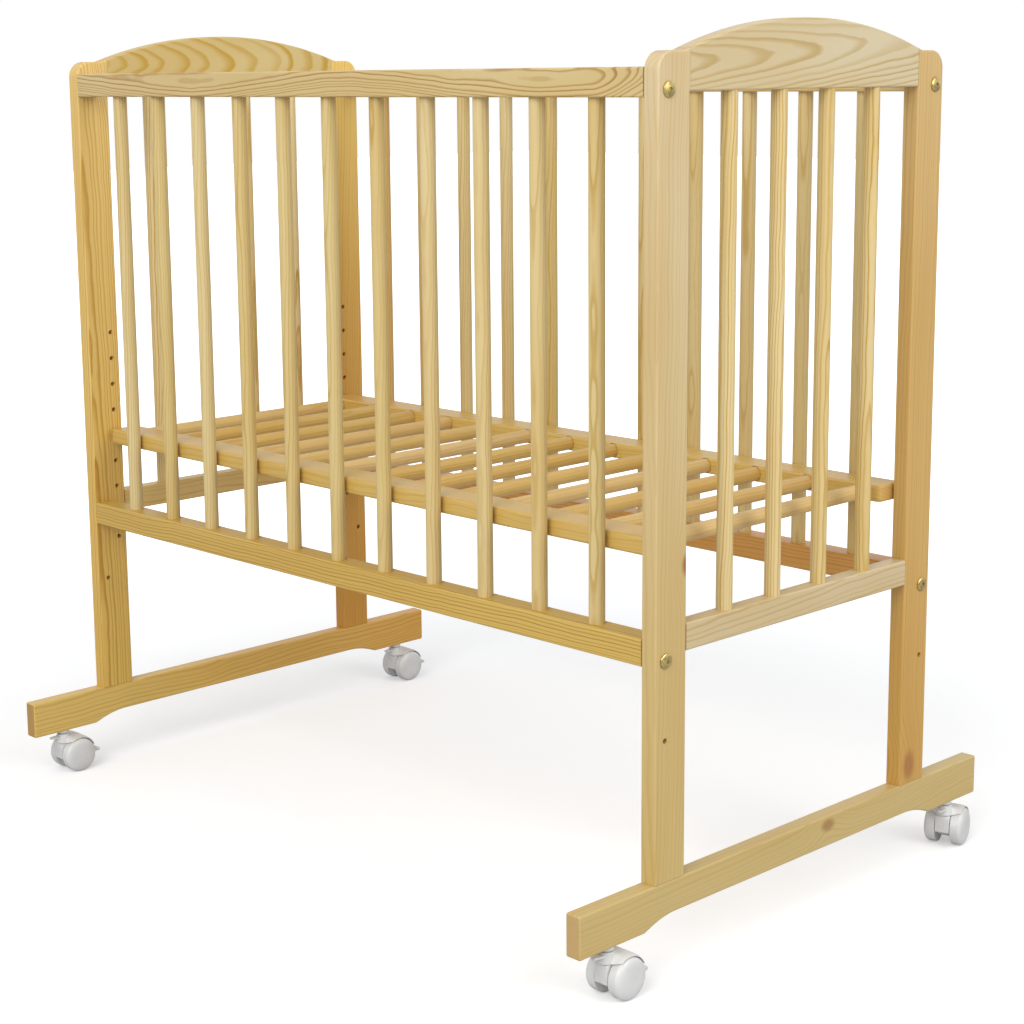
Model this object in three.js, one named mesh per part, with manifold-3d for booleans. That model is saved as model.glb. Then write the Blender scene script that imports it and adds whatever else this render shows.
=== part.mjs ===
// A bedside crib of solid pine: two arched end frames on ogee feet, four side rails with round bars,
// a slatted mattress base on pegs, brass connector bolts and four twin-wheel castors with brake pedals.
// Millimetres, +Z up, the floor at Z = 0 and the origin under the middle of the crib.
// X runs along the long sides, and the front is towards -Y.

import * as THREE from 'three';
import { mergeVertices } from 'three/addons/utils/BufferGeometryUtils.js';
import Module from 'manifold-3d';

const wasm = await Module();
wasm.setup();

// Overall sizes
const CRIB_LENGTH = 940;
const CRIB_DEPTH = 436;
const STOCK = 18;
const POST_WIDTH = 43;
const POST_HEIGHT = 773;
const FOOT_HEIGHT = 43;
const FOOT_LENGTH = 640;
const CASTOR_HEIGHT = 53;

// Clearances: round a pin in its hole, and between a moving piece and its housing
const FIT = 0.3;
const RUNNING_GAP = 0.5;

// Rounded edges
const EDGE = 2;
const FOOT_EDGE = 2;
const BASE_EDGE = 3;
const HOOD_EDGE = 0.8;
const TREAD_EDGE = 2.5;

// Arched top of the end frames
const POST_CORNER = 18;
const ARCH_SHOULDER = 33.2;
const ARCH_RISE = 30.5;
const ARCH_FILLET = 15;
const ARCH_UNDERSIDE_DROP = 36;

// Feet: the waist is the part of the underside that is cut away, with an S-curve at each end that turns
// sharply at its lip and runs out slowly in its hollow
const FOOT_WAIST_RISE = 10;
const FOOT_WAIST_INSET = 33;
const FOOT_OGEE_RUN = 47;
const FOOT_OGEE_LIP = 4;
const FOOT_OGEE_HOLLOW = 27;
const FOOT_CORNER = 2;

// Rails
const RAIL = 27;
const TOP_RAIL_DROP = 14;
const SIDE_LOW_RAIL_RISE = 210.5;
const END_LOW_RAIL_RISE = 221;
const END_LOW_RAIL_HEIGHT = 27;

// Round bars, glued into their rails
const BAR_DIAMETER = 16;
const BAR_TENON_DIAMETER = 11;
const BAR_SEAT = 12;
const SIDE_BARS = 11;
const END_BARS = 4;

// Wooden locating dowels between posts, rails and feet
const DOWEL_DIAMETER = 8;
const DOWEL_SEAT = 10;
const FOOT_DOWEL_SEAT = 20;
const FOOT_DOWEL_INSET = 11;
const ARCH_DOWEL_LOW = 10;
const ARCH_DOWEL_SPACING = 18;
const RAIL_DOWEL_RISE = 20;

// Connector bolts and barrel nuts
const BOLT_DIAMETER = 6;
const BOLT_REACH = 29;
const BOLT_RISE = 7;
const BOLT_HEAD_DIAMETER = 15;
const BOLT_HEAD_RIM = 1.2;
const BOLT_HEAD_DOME = 1.6;
const BOLT_HEAD_SHOULDER = 0.7;
const BOLT_SOCKET = 4;
const BOLT_SOCKET_DEPTH = 2;
const NUT_DIAMETER = 10;
const NUT_LENGTH = 13;
const NUT_SINK = 0.5;
const NUT_FROM_RAIL_END = 25;

// Peg holes for the height of the mattress base, and one plain hole low in each post
const PEG_HOLES = 9;
const PEG_PITCH = 32;
const PEG_INSET = 32;
const PEG_TOP_HOLE = 446.5;
const PEG_DIAMETER = 5;
const PEG_HOLE_DEPTH = 12;
const PEG_HOLES_ABOVE_BASE = 4;
const PEG_REACH = 9;
const LOW_HOLE_RISE = 140;
const LOW_HOLE_DIAMETER = 5;

// Mattress base
const BASE_BOARD_WIDTH = 40;
const BASE_OUTER_INSET = 23;
const BASE_END_GAP = 2;
const BASE_CORNER = 8;
const BASE_DOWELS = 13;
const BASE_DOWEL_DIAMETER = 16;
const BASE_DOWEL_SEAT = 12;
const BASE_END_MARGIN = 25;

// Castors: Y trails behind the stem and X runs along the axle
const CASTOR_INSET = 45;
const WHEEL_RADIUS = 21;
const WHEEL_WIDTH = 14;
const WHEEL_DOME = 3.5;
const WHEEL_TRAIL = 13;
const WHEEL_BORE_DEPTH = 8;
const AXLE_DIAMETER = 5;
const CASTOR_WEB = 16;
const WEB_INSET = 0.4;
const WEB_UNDERSIDE_RADIUS = 13;
const WEB_UNDERSIDE_START = 200;
const WEB_UNDERSIDE_END = 355;
const HOOD_GAP = 0.8;
const HOOD_WALL = 1.8;
const HOOD_FRONT_ANGLE = 137;
const HOOD_REAR_ANGLE = 25;
const STEM_DIAMETER = 8;
const STEM_IN_FOOT = 28;
const STEM_IN_BODY = 27;
const STEM_FLANGE_DIAMETER = 15;
const STEM_FLANGE = 3.5;
const NECK_GAP = 1.2;
const TONGUE_WIDTH = 12;
const TONGUE_REACH = 19;
const TONGUE_TIP_RADIUS = 3;
const TONGUE_HEIGHT = 2;
const TONGUE_DROP = 2.5;
const BACK_RIGHT_SWIVEL = 17;

// Brake pedals
const PEDAL_ARM_WIDTH = 12;
const PEDAL_WIDTH = 26;
const PEDAL_PIVOT_BACK = 11;
const PEDAL_PIVOT_RISE = 3;
const PEDAL_PIVOT_RADIUS = 4;
const PEDAL_PIN_DIAMETER = 3.2;
const PEDAL_REACH = 7;
const PEDAL_CLEAR = 1.6;
const PEDAL_TREAD_DROP = 3.5;
const PEDAL_ROOT_HEIGHT = 6;
const PEDAL_TIP_RADIUS = 2;
const PEDAL_TIP_DROP = 4;

// How far a cutter or a blank runs past the face that it makes, and a peg root into its own piece
const OVERLONG = 12;
const ROOT = 1;

// Flats and sides that the curved forms are made of
const EDGE_STEPS = 2;
const SMALL_EDGE_STEPS = 1;
const CURVE_STEPS = 2;
const OGEE_STEPS = 4;
const RAIL_CORNER_STEPS = 1;
const ARCH_STEPS = 5;
const HOOD_STEPS = 3;
const DOME_STEPS = 2;
const HEXAGON = 6;
const DOWEL_SIDES = 6;
const PIN_SIDES = 6;
const BAR_SIDES = 8;
const ROUND_SIDES = 8;
const NECK_SIDES = 10;
const HEAD_SIDES = 10;
const WHEEL_SIDES = 16;

// Places worked out from the sizes above
const OUTER_X = CRIB_LENGTH / 2;
const FRAME_X = OUTER_X - STOCK / 2;
const INNER_X = OUTER_X - STOCK;
const OUTER_Y = CRIB_DEPTH / 2;
const JOINT_Y = OUTER_Y - POST_WIDTH;
const RAIL_Y = OUTER_Y - RAIL / 2;
const SIDE_BAR_PITCH = (2 * INNER_X + BAR_DIAMETER) / (SIDE_BARS + 1);
const END_BAR_PITCH = (2 * JOINT_Y + BAR_DIAMETER) / (END_BARS + 1);
const FOOT_TOP = CASTOR_HEIGHT + FOOT_HEIGHT;
const POST_TOP = FOOT_TOP + POST_HEIGHT;
const ARCH_UNDERSIDE = POST_TOP - ARCH_UNDERSIDE_DROP;
const ARCH_FOOT_Y = OUTER_Y - ARCH_SHOULDER;
const ARCH_RADIUS = (ARCH_FOOT_Y ** 2 + ARCH_RISE ** 2) / (2 * ARCH_RISE) - ARCH_FILLET;
const ARCH_CENTRE_Z = POST_TOP + ARCH_RISE - ARCH_RADIUS;
const TOP_RAIL_BASE = POST_TOP - TOP_RAIL_DROP - RAIL;
const SIDE_LOW_BASE = FOOT_TOP + SIDE_LOW_RAIL_RISE;
const RAIL_BASES = [TOP_RAIL_BASE, SIDE_LOW_BASE];
const END_LOW_BASE = FOOT_TOP + END_LOW_RAIL_RISE;
const END_LOW_TOP = END_LOW_BASE + END_LOW_RAIL_HEIGHT;
const END_LOW_MIDDLE = (END_LOW_BASE + END_LOW_TOP) / 2;
const NUT_X = INNER_X - NUT_FROM_RAIL_END;
const PEG_Y = OUTER_Y - PEG_INSET;
const PEG_TOP_Z = FOOT_TOP + PEG_TOP_HOLE;
const BASE_Z = PEG_TOP_Z - PEG_HOLES_ABOVE_BASE * PEG_PITCH;
const BASE_BOARD_Y = OUTER_Y - BASE_OUTER_INSET - BASE_BOARD_WIDTH / 2;
const BASE_HALF = INNER_X - BASE_END_GAP;
const CASTOR_Y = FOOT_LENGTH / 2 - CASTOR_INSET;
const HOOD_INNER = WHEEL_RADIUS + HOOD_GAP;
const HOOD_OUTER = HOOD_INNER + HOOD_WALL;
const HOOD_HALF = CASTOR_WEB / 2 + RUNNING_GAP + WHEEL_WIDTH - WHEEL_DOME;
const NECK_TOP = CASTOR_HEIGHT - STEM_FLANGE - NECK_GAP;
const PEDAL_PIVOT_Y = WHEEL_TRAIL + PEDAL_PIVOT_BACK;
const PEDAL_PIVOT_Z = WHEEL_RADIUS + PEDAL_PIVOT_RISE;
const PEDAL_TOP = PEDAL_PIVOT_Z + PEDAL_PIVOT_RADIUS - PEDAL_TREAD_DROP;
const PEDAL_TIP_Z = PEDAL_TOP - PEDAL_TIP_DROP;

// Colours
const PINE = 0xd8b26a;
const BRASS = 0xb8923f;
const STEEL = 0xb4b6b8;
const WHITE_PLASTIC = 0xdcdcd8;

// The long way of an extrusion turned to run along X, with its outline in the plane of Y and Z
const ALONG_X = new THREE.Matrix4().makeBasis(
  new THREE.Vector3(0, 1, 0),
  new THREE.Vector3(0, 0, 1),
  new THREE.Vector3(1, 0, 0),
);

function toSolid(geometry) {
  const bare = geometry.clone();
  bare.deleteAttribute('normal');
  bare.deleteAttribute('uv');
  const merged = mergeVertices(bare, 1e-4);
  return new wasm.Manifold(new wasm.Mesh({
    numProp: 3,
    vertProperties: new Float32Array(merged.attributes.position.array),
    triVerts: new Uint32Array(merged.index.array),
  }));
}

function toGeometry(solid) {
  const mesh = solid.getMesh();
  const geometry = new THREE.BufferGeometry();
  geometry.setAttribute('position', new THREE.BufferAttribute(new Float32Array(mesh.vertProperties), 3));
  geometry.setIndex(new THREE.BufferAttribute(new Uint32Array(mesh.triVerts), 1));
  geometry.computeVertexNormals();
  return geometry;
}

// The same piece for the other side of Y: mirrored, with its triangles turned to face out again
function mirroredInY(geometry) {
  const copy = geometry.clone();
  copy.scale(1, -1, 1);
  const index = copy.index.array;
  for (let i = 0; i < index.length; i += 3) {
    const second = index[i + 1];
    index[i + 1] = index[i + 2];
    index[i + 2] = second;
  }
  copy.computeVertexNormals();
  return copy;
}

function pine() {
  return new THREE.MeshStandardMaterial({ color: PINE, roughness: 0.42, metalness: 0 });
}

function brass() {
  return new THREE.MeshStandardMaterial({ color: BRASS, roughness: 0.3, metalness: 1 });
}

function steel() {
  return new THREE.MeshStandardMaterial({ color: STEEL, roughness: 0.35, metalness: 1 });
}

function whitePlastic() {
  return new THREE.MeshStandardMaterial({ color: WHITE_PLASTIC, roughness: 0.3, metalness: 0 });
}

function named(name, geometry, material) {
  const mesh = new THREE.Mesh(geometry, material);
  mesh.name = name;
  return mesh;
}

function joined(first, others) {
  return others.reduce((solid, other) => solid.add(other), first);
}

function cutBy(first, cutters) {
  return cutters.reduce((solid, cutter) => solid.subtract(cutter), first);
}

// Positions of equally spaced pieces, centred on zero
function spaced(count, pitch) {
  return Array.from({ length: count }, (_, i) => (i - (count - 1) / 2) * pitch);
}

function block(xLow, xHigh, yLow, yHigh, zLow, zHigh) {
  const box = new THREE.BoxGeometry(xHigh - xLow, yHigh - yLow, zHigh - zLow);
  box.translate((xLow + xHigh) / 2, (yLow + yHigh) / 2, (zLow + zHigh) / 2);
  return toSolid(box);
}

function roundAlongX(diameter, xLow, xHigh, y, z, sides) {
  const pin = new THREE.CylinderGeometry(diameter / 2, diameter / 2, xHigh - xLow, sides);
  pin.rotateZ(Math.PI / 2);
  pin.translate((xLow + xHigh) / 2, y, z);
  return toSolid(pin);
}

function roundAlongY(diameter, x, yLow, yHigh, z, sides) {
  const pin = new THREE.CylinderGeometry(diameter / 2, diameter / 2, yHigh - yLow, sides);
  pin.translate(x, (yLow + yHigh) / 2, z);
  return toSolid(pin);
}

function roundAlongZ(diameter, x, y, zLow, zHigh, sides) {
  const pin = new THREE.CylinderGeometry(diameter / 2, diameter / 2, zHigh - zLow, sides);
  pin.rotateX(Math.PI / 2);
  pin.translate(x, y, (zLow + zHigh) / 2);
  return toSolid(pin);
}

// A flat outline made thick about its own plane, with both faces' edges rounded
function roundedBoard(outline, thickness, edge, edgeSteps, curveSegments) {
  const geometry = new THREE.ExtrudeGeometry(outline, {
    depth: thickness - 2 * edge,
    bevelThickness: edge,
    bevelSize: edge,
    bevelOffset: -edge,
    bevelSegments: edgeSteps,
    curveSegments,
  });
  geometry.translate(0, 0, edge - thickness / 2);
  return geometry;
}

// The same for an outline in the plane of Y and Z
function plate(outline, thickness, edge, edgeSteps, curveSegments) {
  const geometry = roundedBoard(outline, thickness, edge, edgeSteps, curveSegments);
  geometry.applyMatrix4(ALONG_X);
  return toSolid(geometry);
}

// A straight length along X whose outline lies in the plane of Y and Z
function lengthAlongX(outline, xLow, xHigh, curveSegments) {
  const geometry = new THREE.ExtrudeGeometry(outline, {
    depth: xHigh - xLow,
    bevelEnabled: false,
    curveSegments,
  });
  geometry.translate(0, 0, xLow);
  geometry.applyMatrix4(ALONG_X);
  return toSolid(geometry);
}

function rectangle(aLow, aHigh, bLow, bHigh) {
  const outline = new THREE.Shape();
  outline.moveTo(aLow, bLow);
  outline.lineTo(aHigh, bLow);
  outline.lineTo(aHigh, bHigh);
  outline.lineTo(aLow, bHigh);
  return outline;
}

function roundedRectangle(aLow, aHigh, bLow, bHigh, radius) {
  const outline = new THREE.Shape();
  outline.moveTo(aLow + radius, bLow);
  outline.lineTo(aHigh - radius, bLow);
  outline.absarc(aHigh - radius, bLow + radius, radius, -Math.PI / 2, 0, false);
  outline.lineTo(aHigh, bHigh - radius);
  outline.absarc(aHigh - radius, bHigh - radius, radius, 0, Math.PI / 2, false);
  outline.lineTo(aLow + radius, bHigh);
  outline.absarc(aLow + radius, bHigh - radius, radius, Math.PI / 2, Math.PI, false);
  outline.lineTo(aLow, bLow + radius);
  outline.absarc(aLow + radius, bLow + radius, radius, Math.PI, 1.5 * Math.PI, false);
  return outline;
}

// An end post: straight up to a rounded outer corner, then a short flat, a small hollow and the start of
// the arch, which runs on past the joint
function postOutline() {
  const tilt = Math.asin(ARCH_FOOT_Y / (ARCH_RADIUS + ARCH_FILLET));
  const innerY = JOINT_Y - OVERLONG;
  const outline = new THREE.Shape();
  outline.moveTo(JOINT_Y, FOOT_TOP - OVERLONG);
  outline.lineTo(OUTER_Y, FOOT_TOP - OVERLONG);
  outline.lineTo(OUTER_Y, POST_TOP - POST_CORNER);
  outline.absarc(OUTER_Y - POST_CORNER, POST_TOP - POST_CORNER, POST_CORNER, 0, Math.PI / 2, false);
  outline.lineTo(ARCH_FOOT_Y, POST_TOP);
  outline.absarc(ARCH_FOOT_Y, POST_TOP + ARCH_FILLET, ARCH_FILLET, -Math.PI / 2, -Math.PI / 2 - tilt, true);
  outline.lineTo(innerY, ARCH_CENTRE_Z + Math.sqrt(ARCH_RADIUS ** 2 - innerY ** 2));
  outline.lineTo(innerY, ARCH_UNDERSIDE);
  outline.lineTo(JOINT_Y, ARCH_UNDERSIDE);
  return outline;
}

// The arched rail: straight underside, and one large circle over it that runs on past both joints
function archOutline() {
  const overY = JOINT_Y + OVERLONG;
  const tilt = Math.asin(overY / ARCH_RADIUS);
  const outline = new THREE.Shape();
  outline.moveTo(-overY, ARCH_UNDERSIDE);
  outline.lineTo(overY, ARCH_UNDERSIDE);
  outline.absarc(0, ARCH_CENTRE_Z, ARCH_RADIUS, Math.PI / 2 - tilt, Math.PI / 2 + tilt, false);
  return outline;
}

// The foot: full height at both ends over the castors, with an S-curve up to its waist on each side
function footOutline() {
  const half = FOOT_LENGTH / 2;
  const waist = CASTOR_HEIGHT + FOOT_WAIST_RISE;
  const curveEnd = OUTER_Y - FOOT_WAIST_INSET;
  const curveStart = curveEnd + FOOT_OGEE_RUN;
  const lip = curveStart - FOOT_OGEE_LIP;
  const hollow = curveEnd + FOOT_OGEE_HOLLOW;
  const outline = new THREE.Shape();
  outline.moveTo(-curveEnd, waist);
  outline.lineTo(curveEnd, waist);
  outline.bezierCurveTo(hollow, waist, lip, CASTOR_HEIGHT, curveStart, CASTOR_HEIGHT);
  outline.lineTo(half - FOOT_CORNER, CASTOR_HEIGHT);
  outline.lineTo(half, CASTOR_HEIGHT + FOOT_CORNER);
  outline.lineTo(half, FOOT_TOP - FOOT_CORNER);
  outline.lineTo(half - FOOT_CORNER, FOOT_TOP);
  outline.lineTo(FOOT_CORNER - half, FOOT_TOP);
  outline.lineTo(-half, FOOT_TOP - FOOT_CORNER);
  outline.lineTo(-half, CASTOR_HEIGHT + FOOT_CORNER);
  outline.lineTo(FOOT_CORNER - half, CASTOR_HEIGHT);
  outline.lineTo(-curveStart, CASTOR_HEIGHT);
  outline.bezierCurveTo(-lip, CASTOR_HEIGHT, -hollow, waist, -curveEnd, waist);
  return outline;
}

// Heights in a post
function pegHeights() {
  return Array.from({ length: PEG_HOLES }, (_, i) => PEG_TOP_Z - i * PEG_PITCH);
}

function archDowelHeights() {
  return [ARCH_UNDERSIDE + ARCH_DOWEL_LOW, ARCH_UNDERSIDE + ARCH_DOWEL_LOW + ARCH_DOWEL_SPACING];
}

function footDowelPlaces() {
  return [JOINT_Y + FOOT_DOWEL_INSET, OUTER_Y - FOOT_DOWEL_INSET];
}

// End frame pieces stand about X = 0, with the outer face on +X. This post is the one on the +Y side.
function postSolid() {
  const face = STOCK / 2;
  const board = plate(postOutline(), STOCK, EDGE, EDGE_STEPS, CURVE_STEPS)
    .intersect(block(-STOCK, STOCK, JOINT_Y, CRIB_DEPTH, FOOT_TOP, POST_TOP + ARCH_RISE));
  const footDowels = footDowelPlaces().map((y) => (
    roundAlongZ(DOWEL_DIAMETER, 0, y, FOOT_TOP - FOOT_DOWEL_SEAT, FOOT_TOP + ROOT, DOWEL_SIDES)
  ));
  const post = joined(board, footDowels);

  const hole = (diameter, depth, y, z, sides) => (
    roundAlongX(diameter + 2 * FIT, -face - ROOT, depth - face, y, z, sides)
  );
  const pegHoles = pegHeights().map((z) => hole(PEG_DIAMETER, PEG_HOLE_DEPTH, PEG_Y, z, PIN_SIDES));
  const lowHole = hole(LOW_HOLE_DIAMETER, STOCK + ROOT, RAIL_Y, FOOT_TOP + LOW_HOLE_RISE, PIN_SIDES);
  const boltHoles = RAIL_BASES.map((z) => hole(BOLT_DIAMETER, STOCK + ROOT, RAIL_Y, z + BOLT_RISE, PIN_SIDES));
  const railDowelHoles = RAIL_BASES.map((z) => (
    hole(DOWEL_DIAMETER, DOWEL_SEAT + FIT, RAIL_Y, z + RAIL_DOWEL_RISE, DOWEL_SIDES)
  ));
  const edgeHoles = [...archDowelHeights(), END_LOW_MIDDLE].map((z) => (
    roundAlongY(DOWEL_DIAMETER + 2 * FIT, 0, JOINT_Y - ROOT, JOINT_Y + DOWEL_SEAT + FIT, z, DOWEL_SIDES)
  ));
  return cutBy(post, [...pegHoles, lowHole, ...boltHoles, ...railDowelHoles, ...edgeHoles]);
}

// Dowels that stand out of both ends of a rail between the posts
function endDowels(heights) {
  return heights.flatMap((z) => [
    roundAlongY(DOWEL_DIAMETER, 0, JOINT_Y - ROOT, JOINT_Y + DOWEL_SEAT, z, DOWEL_SIDES),
    roundAlongY(DOWEL_DIAMETER, 0, -JOINT_Y - DOWEL_SEAT, ROOT - JOINT_Y, z, DOWEL_SIDES),
  ]);
}

function archSolid() {
  const rail = plate(archOutline(), STOCK, EDGE, EDGE_STEPS, ARCH_STEPS)
    .intersect(block(-STOCK, STOCK, -JOINT_Y, JOINT_Y, ARCH_UNDERSIDE - ROOT, POST_TOP + 2 * ARCH_RISE));
  const sockets = spaced(END_BARS, END_BAR_PITCH).map((y) => roundAlongZ(
    BAR_TENON_DIAMETER + 2 * FIT, 0, y, ARCH_UNDERSIDE - ROOT, ARCH_UNDERSIDE + BAR_SEAT + FIT, BAR_SIDES,
  ));
  return cutBy(joined(rail, endDowels(archDowelHeights())), sockets);
}

// An end bar with its upper end turned down, because the arched rail is little thicker than the bar
function endBar(y) {
  const profile = [
    new THREE.Vector2(0, END_LOW_TOP - ROOT),
    new THREE.Vector2(BAR_DIAMETER / 2, END_LOW_TOP - ROOT),
    new THREE.Vector2(BAR_DIAMETER / 2, ARCH_UNDERSIDE),
    new THREE.Vector2(BAR_TENON_DIAMETER / 2, ARCH_UNDERSIDE),
    new THREE.Vector2(BAR_TENON_DIAMETER / 2, ARCH_UNDERSIDE + BAR_SEAT),
    new THREE.Vector2(0, ARCH_UNDERSIDE + BAR_SEAT),
  ];
  const turned = new THREE.LatheGeometry(profile, BAR_SIDES);
  turned.rotateX(Math.PI / 2);
  turned.translate(0, y, 0);
  return toSolid(turned);
}

function endLowRailSolid() {
  const over = JOINT_Y + OVERLONG;
  const rail = plate(rectangle(-over, over, END_LOW_BASE, END_LOW_TOP), STOCK, EDGE, EDGE_STEPS, CURVE_STEPS)
    .intersect(block(-STOCK, STOCK, -JOINT_Y, JOINT_Y, CASTOR_HEIGHT, POST_TOP));
  return joined(rail, [...endDowels([END_LOW_MIDDLE]), ...spaced(END_BARS, END_BAR_PITCH).map(endBar)]);
}

function footSolid() {
  const foot = plate(footOutline(), STOCK, FOOT_EDGE, SMALL_EDGE_STEPS, OGEE_STEPS);
  const dowelHoles = footDowelPlaces().flatMap((y) => [y, -y]).map((y) => roundAlongZ(
    DOWEL_DIAMETER + 2 * FIT, 0, y, FOOT_TOP - FOOT_DOWEL_SEAT - FIT, FOOT_TOP + ROOT, DOWEL_SIDES,
  ));
  const stemHoles = [CASTOR_Y, -CASTOR_Y].map((y) => roundAlongZ(
    STEM_DIAMETER + 2 * FIT, 0, y, CASTOR_HEIGHT - ROOT, CASTOR_HEIGHT + STEM_IN_FOOT + FIT, NECK_SIDES,
  ));
  return cutBy(foot, [...dowelHoles, ...stemHoles]);
}

// Side rails are drawn for the back of the crib. Each end has a dowel above the connector bolt.
function sideRailBlank(base) {
  const section = roundedRectangle(RAIL_Y - RAIL / 2, RAIL_Y + RAIL / 2, base, base + RAIL, EDGE);
  const rail = lengthAlongX(section, -INNER_X, INNER_X, RAIL_CORNER_STEPS);
  const dowelZ = base + RAIL_DOWEL_RISE;
  return joined(rail, [
    roundAlongX(DOWEL_DIAMETER, INNER_X - ROOT, INNER_X + DOWEL_SEAT, RAIL_Y, dowelZ, DOWEL_SIDES),
    roundAlongX(DOWEL_DIAMETER, -INNER_X - DOWEL_SEAT, ROOT - INNER_X, RAIL_Y, dowelZ, DOWEL_SIDES),
  ]);
}

// What the connectors need at both ends: a bore for the bolt and a hole from below for the barrel nut
function connectorHoles(base) {
  const bore = BOLT_DIAMETER + 2 * FIT;
  const boreEnd = INNER_X - (BOLT_REACH + FIT);
  const nutHole = (x) => roundAlongZ(
    NUT_DIAMETER + 2 * FIT, x, RAIL_Y, base - ROOT, base + NUT_SINK + NUT_LENGTH + FIT, PIN_SIDES,
  );
  return [
    roundAlongX(bore, boreEnd, INNER_X + ROOT, RAIL_Y, base + BOLT_RISE, PIN_SIDES),
    roundAlongX(bore, -INNER_X - ROOT, -boreEnd, RAIL_Y, base + BOLT_RISE, PIN_SIDES),
    nutHole(NUT_X),
    nutHole(-NUT_X),
  ];
}

function sideTopRailSolid() {
  const sockets = spaced(SIDE_BARS, SIDE_BAR_PITCH).map((x) => roundAlongZ(
    BAR_DIAMETER + 2 * FIT, x, RAIL_Y, TOP_RAIL_BASE - ROOT, TOP_RAIL_BASE + BAR_SEAT + FIT, BAR_SIDES,
  ));
  return cutBy(sideRailBlank(TOP_RAIL_BASE), [...connectorHoles(TOP_RAIL_BASE), ...sockets]);
}

function sideLowRailSolid() {
  const barBase = SIDE_LOW_BASE + RAIL - ROOT;
  const bars = spaced(SIDE_BARS, SIDE_BAR_PITCH).map((x) => (
    roundAlongZ(BAR_DIAMETER, x, RAIL_Y, barBase, TOP_RAIL_BASE + BAR_SEAT, BAR_SIDES)
  ));
  return joined(cutBy(sideRailBlank(SIDE_LOW_BASE), connectorHoles(SIDE_LOW_BASE)), bars);
}

// Connector bolt along X: its flange lies on X = 0 and its domed head faces +X
function boltGeometry() {
  const head = BOLT_HEAD_DIAMETER / 2;
  const profile = [
    new THREE.Vector2(0, 0),
    new THREE.Vector2(head, 0),
    new THREE.Vector2(head, BOLT_HEAD_RIM),
    new THREE.Vector2(head * BOLT_HEAD_SHOULDER, BOLT_HEAD_RIM + BOLT_HEAD_DOME * BOLT_HEAD_SHOULDER),
    new THREE.Vector2(0, BOLT_HEAD_RIM + BOLT_HEAD_DOME),
  ];
  const turned = new THREE.LatheGeometry(profile, HEAD_SIDES);
  turned.rotateZ(-Math.PI / 2);
  const shank = roundAlongX(BOLT_DIAMETER, -STOCK - BOLT_REACH, BOLT_HEAD_RIM / 2, 0, 0, PIN_SIDES);
  const across = BOLT_SOCKET / Math.cos(Math.PI / HEXAGON);
  const top = BOLT_HEAD_RIM + BOLT_HEAD_DOME;
  const socket = roundAlongX(across, top - BOLT_SOCKET_DEPTH, top + ROOT, 0, 0, HEXAGON);
  return toGeometry(toSolid(turned).add(shank).subtract(socket));
}

// Barrel nut on Z with its lower end at Z = 0, and a cross bore for the bolt
function nutGeometry() {
  const barrel = roundAlongZ(NUT_DIAMETER, 0, 0, 0, NUT_LENGTH, PIN_SIDES);
  const boltZ = BOLT_RISE - NUT_SINK;
  const bore = roundAlongX(BOLT_DIAMETER + 2 * FIT, -NUT_DIAMETER, NUT_DIAMETER, 0, boltZ, PIN_SIDES);
  return toGeometry(barrel.subtract(bore));
}

// A peg along X: half in a post, half in the end of a base board
function pegGeometry() {
  const inPost = PEG_HOLE_DEPTH - FIT;
  return toGeometry(roundAlongX(PEG_DIAMETER, -BASE_END_GAP - PEG_REACH, inPost, 0, 0, PIN_SIDES));
}

// Base boards: a notch under each end drops over the peg
function baseBoardBlank(ySide) {
  const y = ySide * BASE_BOARD_Y;
  const half = BASE_BOARD_WIDTH / 2;
  const outline = roundedRectangle(-BASE_HALF, BASE_HALF, y - half, y + half, BASE_CORNER);
  const board = roundedBoard(outline, STOCK, BASE_EDGE, SMALL_EDGE_STEPS, RAIL_CORNER_STEPS);
  board.translate(0, 0, BASE_Z);
  const notchHalf = PEG_DIAMETER / 2 + FIT;
  const notchEnd = BASE_HALF - PEG_REACH - FIT;
  const yPeg = ySide * PEG_Y;
  const notches = [1, -1].flatMap((xSide) => {
    const low = xSide > 0 ? notchEnd : -BASE_HALF - ROOT;
    const high = xSide > 0 ? BASE_HALF + ROOT : -notchEnd;
    return [
      block(low, high, yPeg - notchHalf, yPeg + notchHalf, BASE_Z - STOCK, BASE_Z),
      roundAlongX(2 * notchHalf, low, high, yPeg, BASE_Z, PIN_SIDES),
    ];
  });
  return cutBy(toSolid(board), notches);
}

function baseDowelPlaces() {
  const run = 2 * (BASE_HALF - BASE_END_MARGIN);
  return spaced(BASE_DOWELS, run / (BASE_DOWELS - 1));
}

function baseFrontSolid() {
  const inner = BASE_BOARD_Y - BASE_BOARD_WIDTH / 2;
  const dowels = baseDowelPlaces().map((x) => (
    roundAlongY(BASE_DOWEL_DIAMETER, x, -inner - BASE_DOWEL_SEAT, inner + BASE_DOWEL_SEAT, BASE_Z, BAR_SIDES)
  ));
  return joined(baseBoardBlank(-1), dowels);
}

function baseBackSolid() {
  const inner = BASE_BOARD_Y - BASE_BOARD_WIDTH / 2;
  const socketEnd = inner + BASE_DOWEL_SEAT + FIT;
  const sockets = baseDowelPlaces().map((x) => (
    roundAlongY(BASE_DOWEL_DIAMETER + 2 * FIT, x, inner - ROOT, socketEnd, BASE_Z, BAR_SIDES)
  ));
  return cutBy(baseBoardBlank(1), sockets);
}

// Castor pieces stand on Z = 0 with the swivel axis on Z and the wheels trailing towards +Y
function hoodPoint(radius, degrees) {
  const angle = THREE.MathUtils.degToRad(degrees);
  return [WHEEL_TRAIL + radius * Math.cos(angle), WHEEL_RADIUS + radius * Math.sin(angle)];
}

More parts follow.
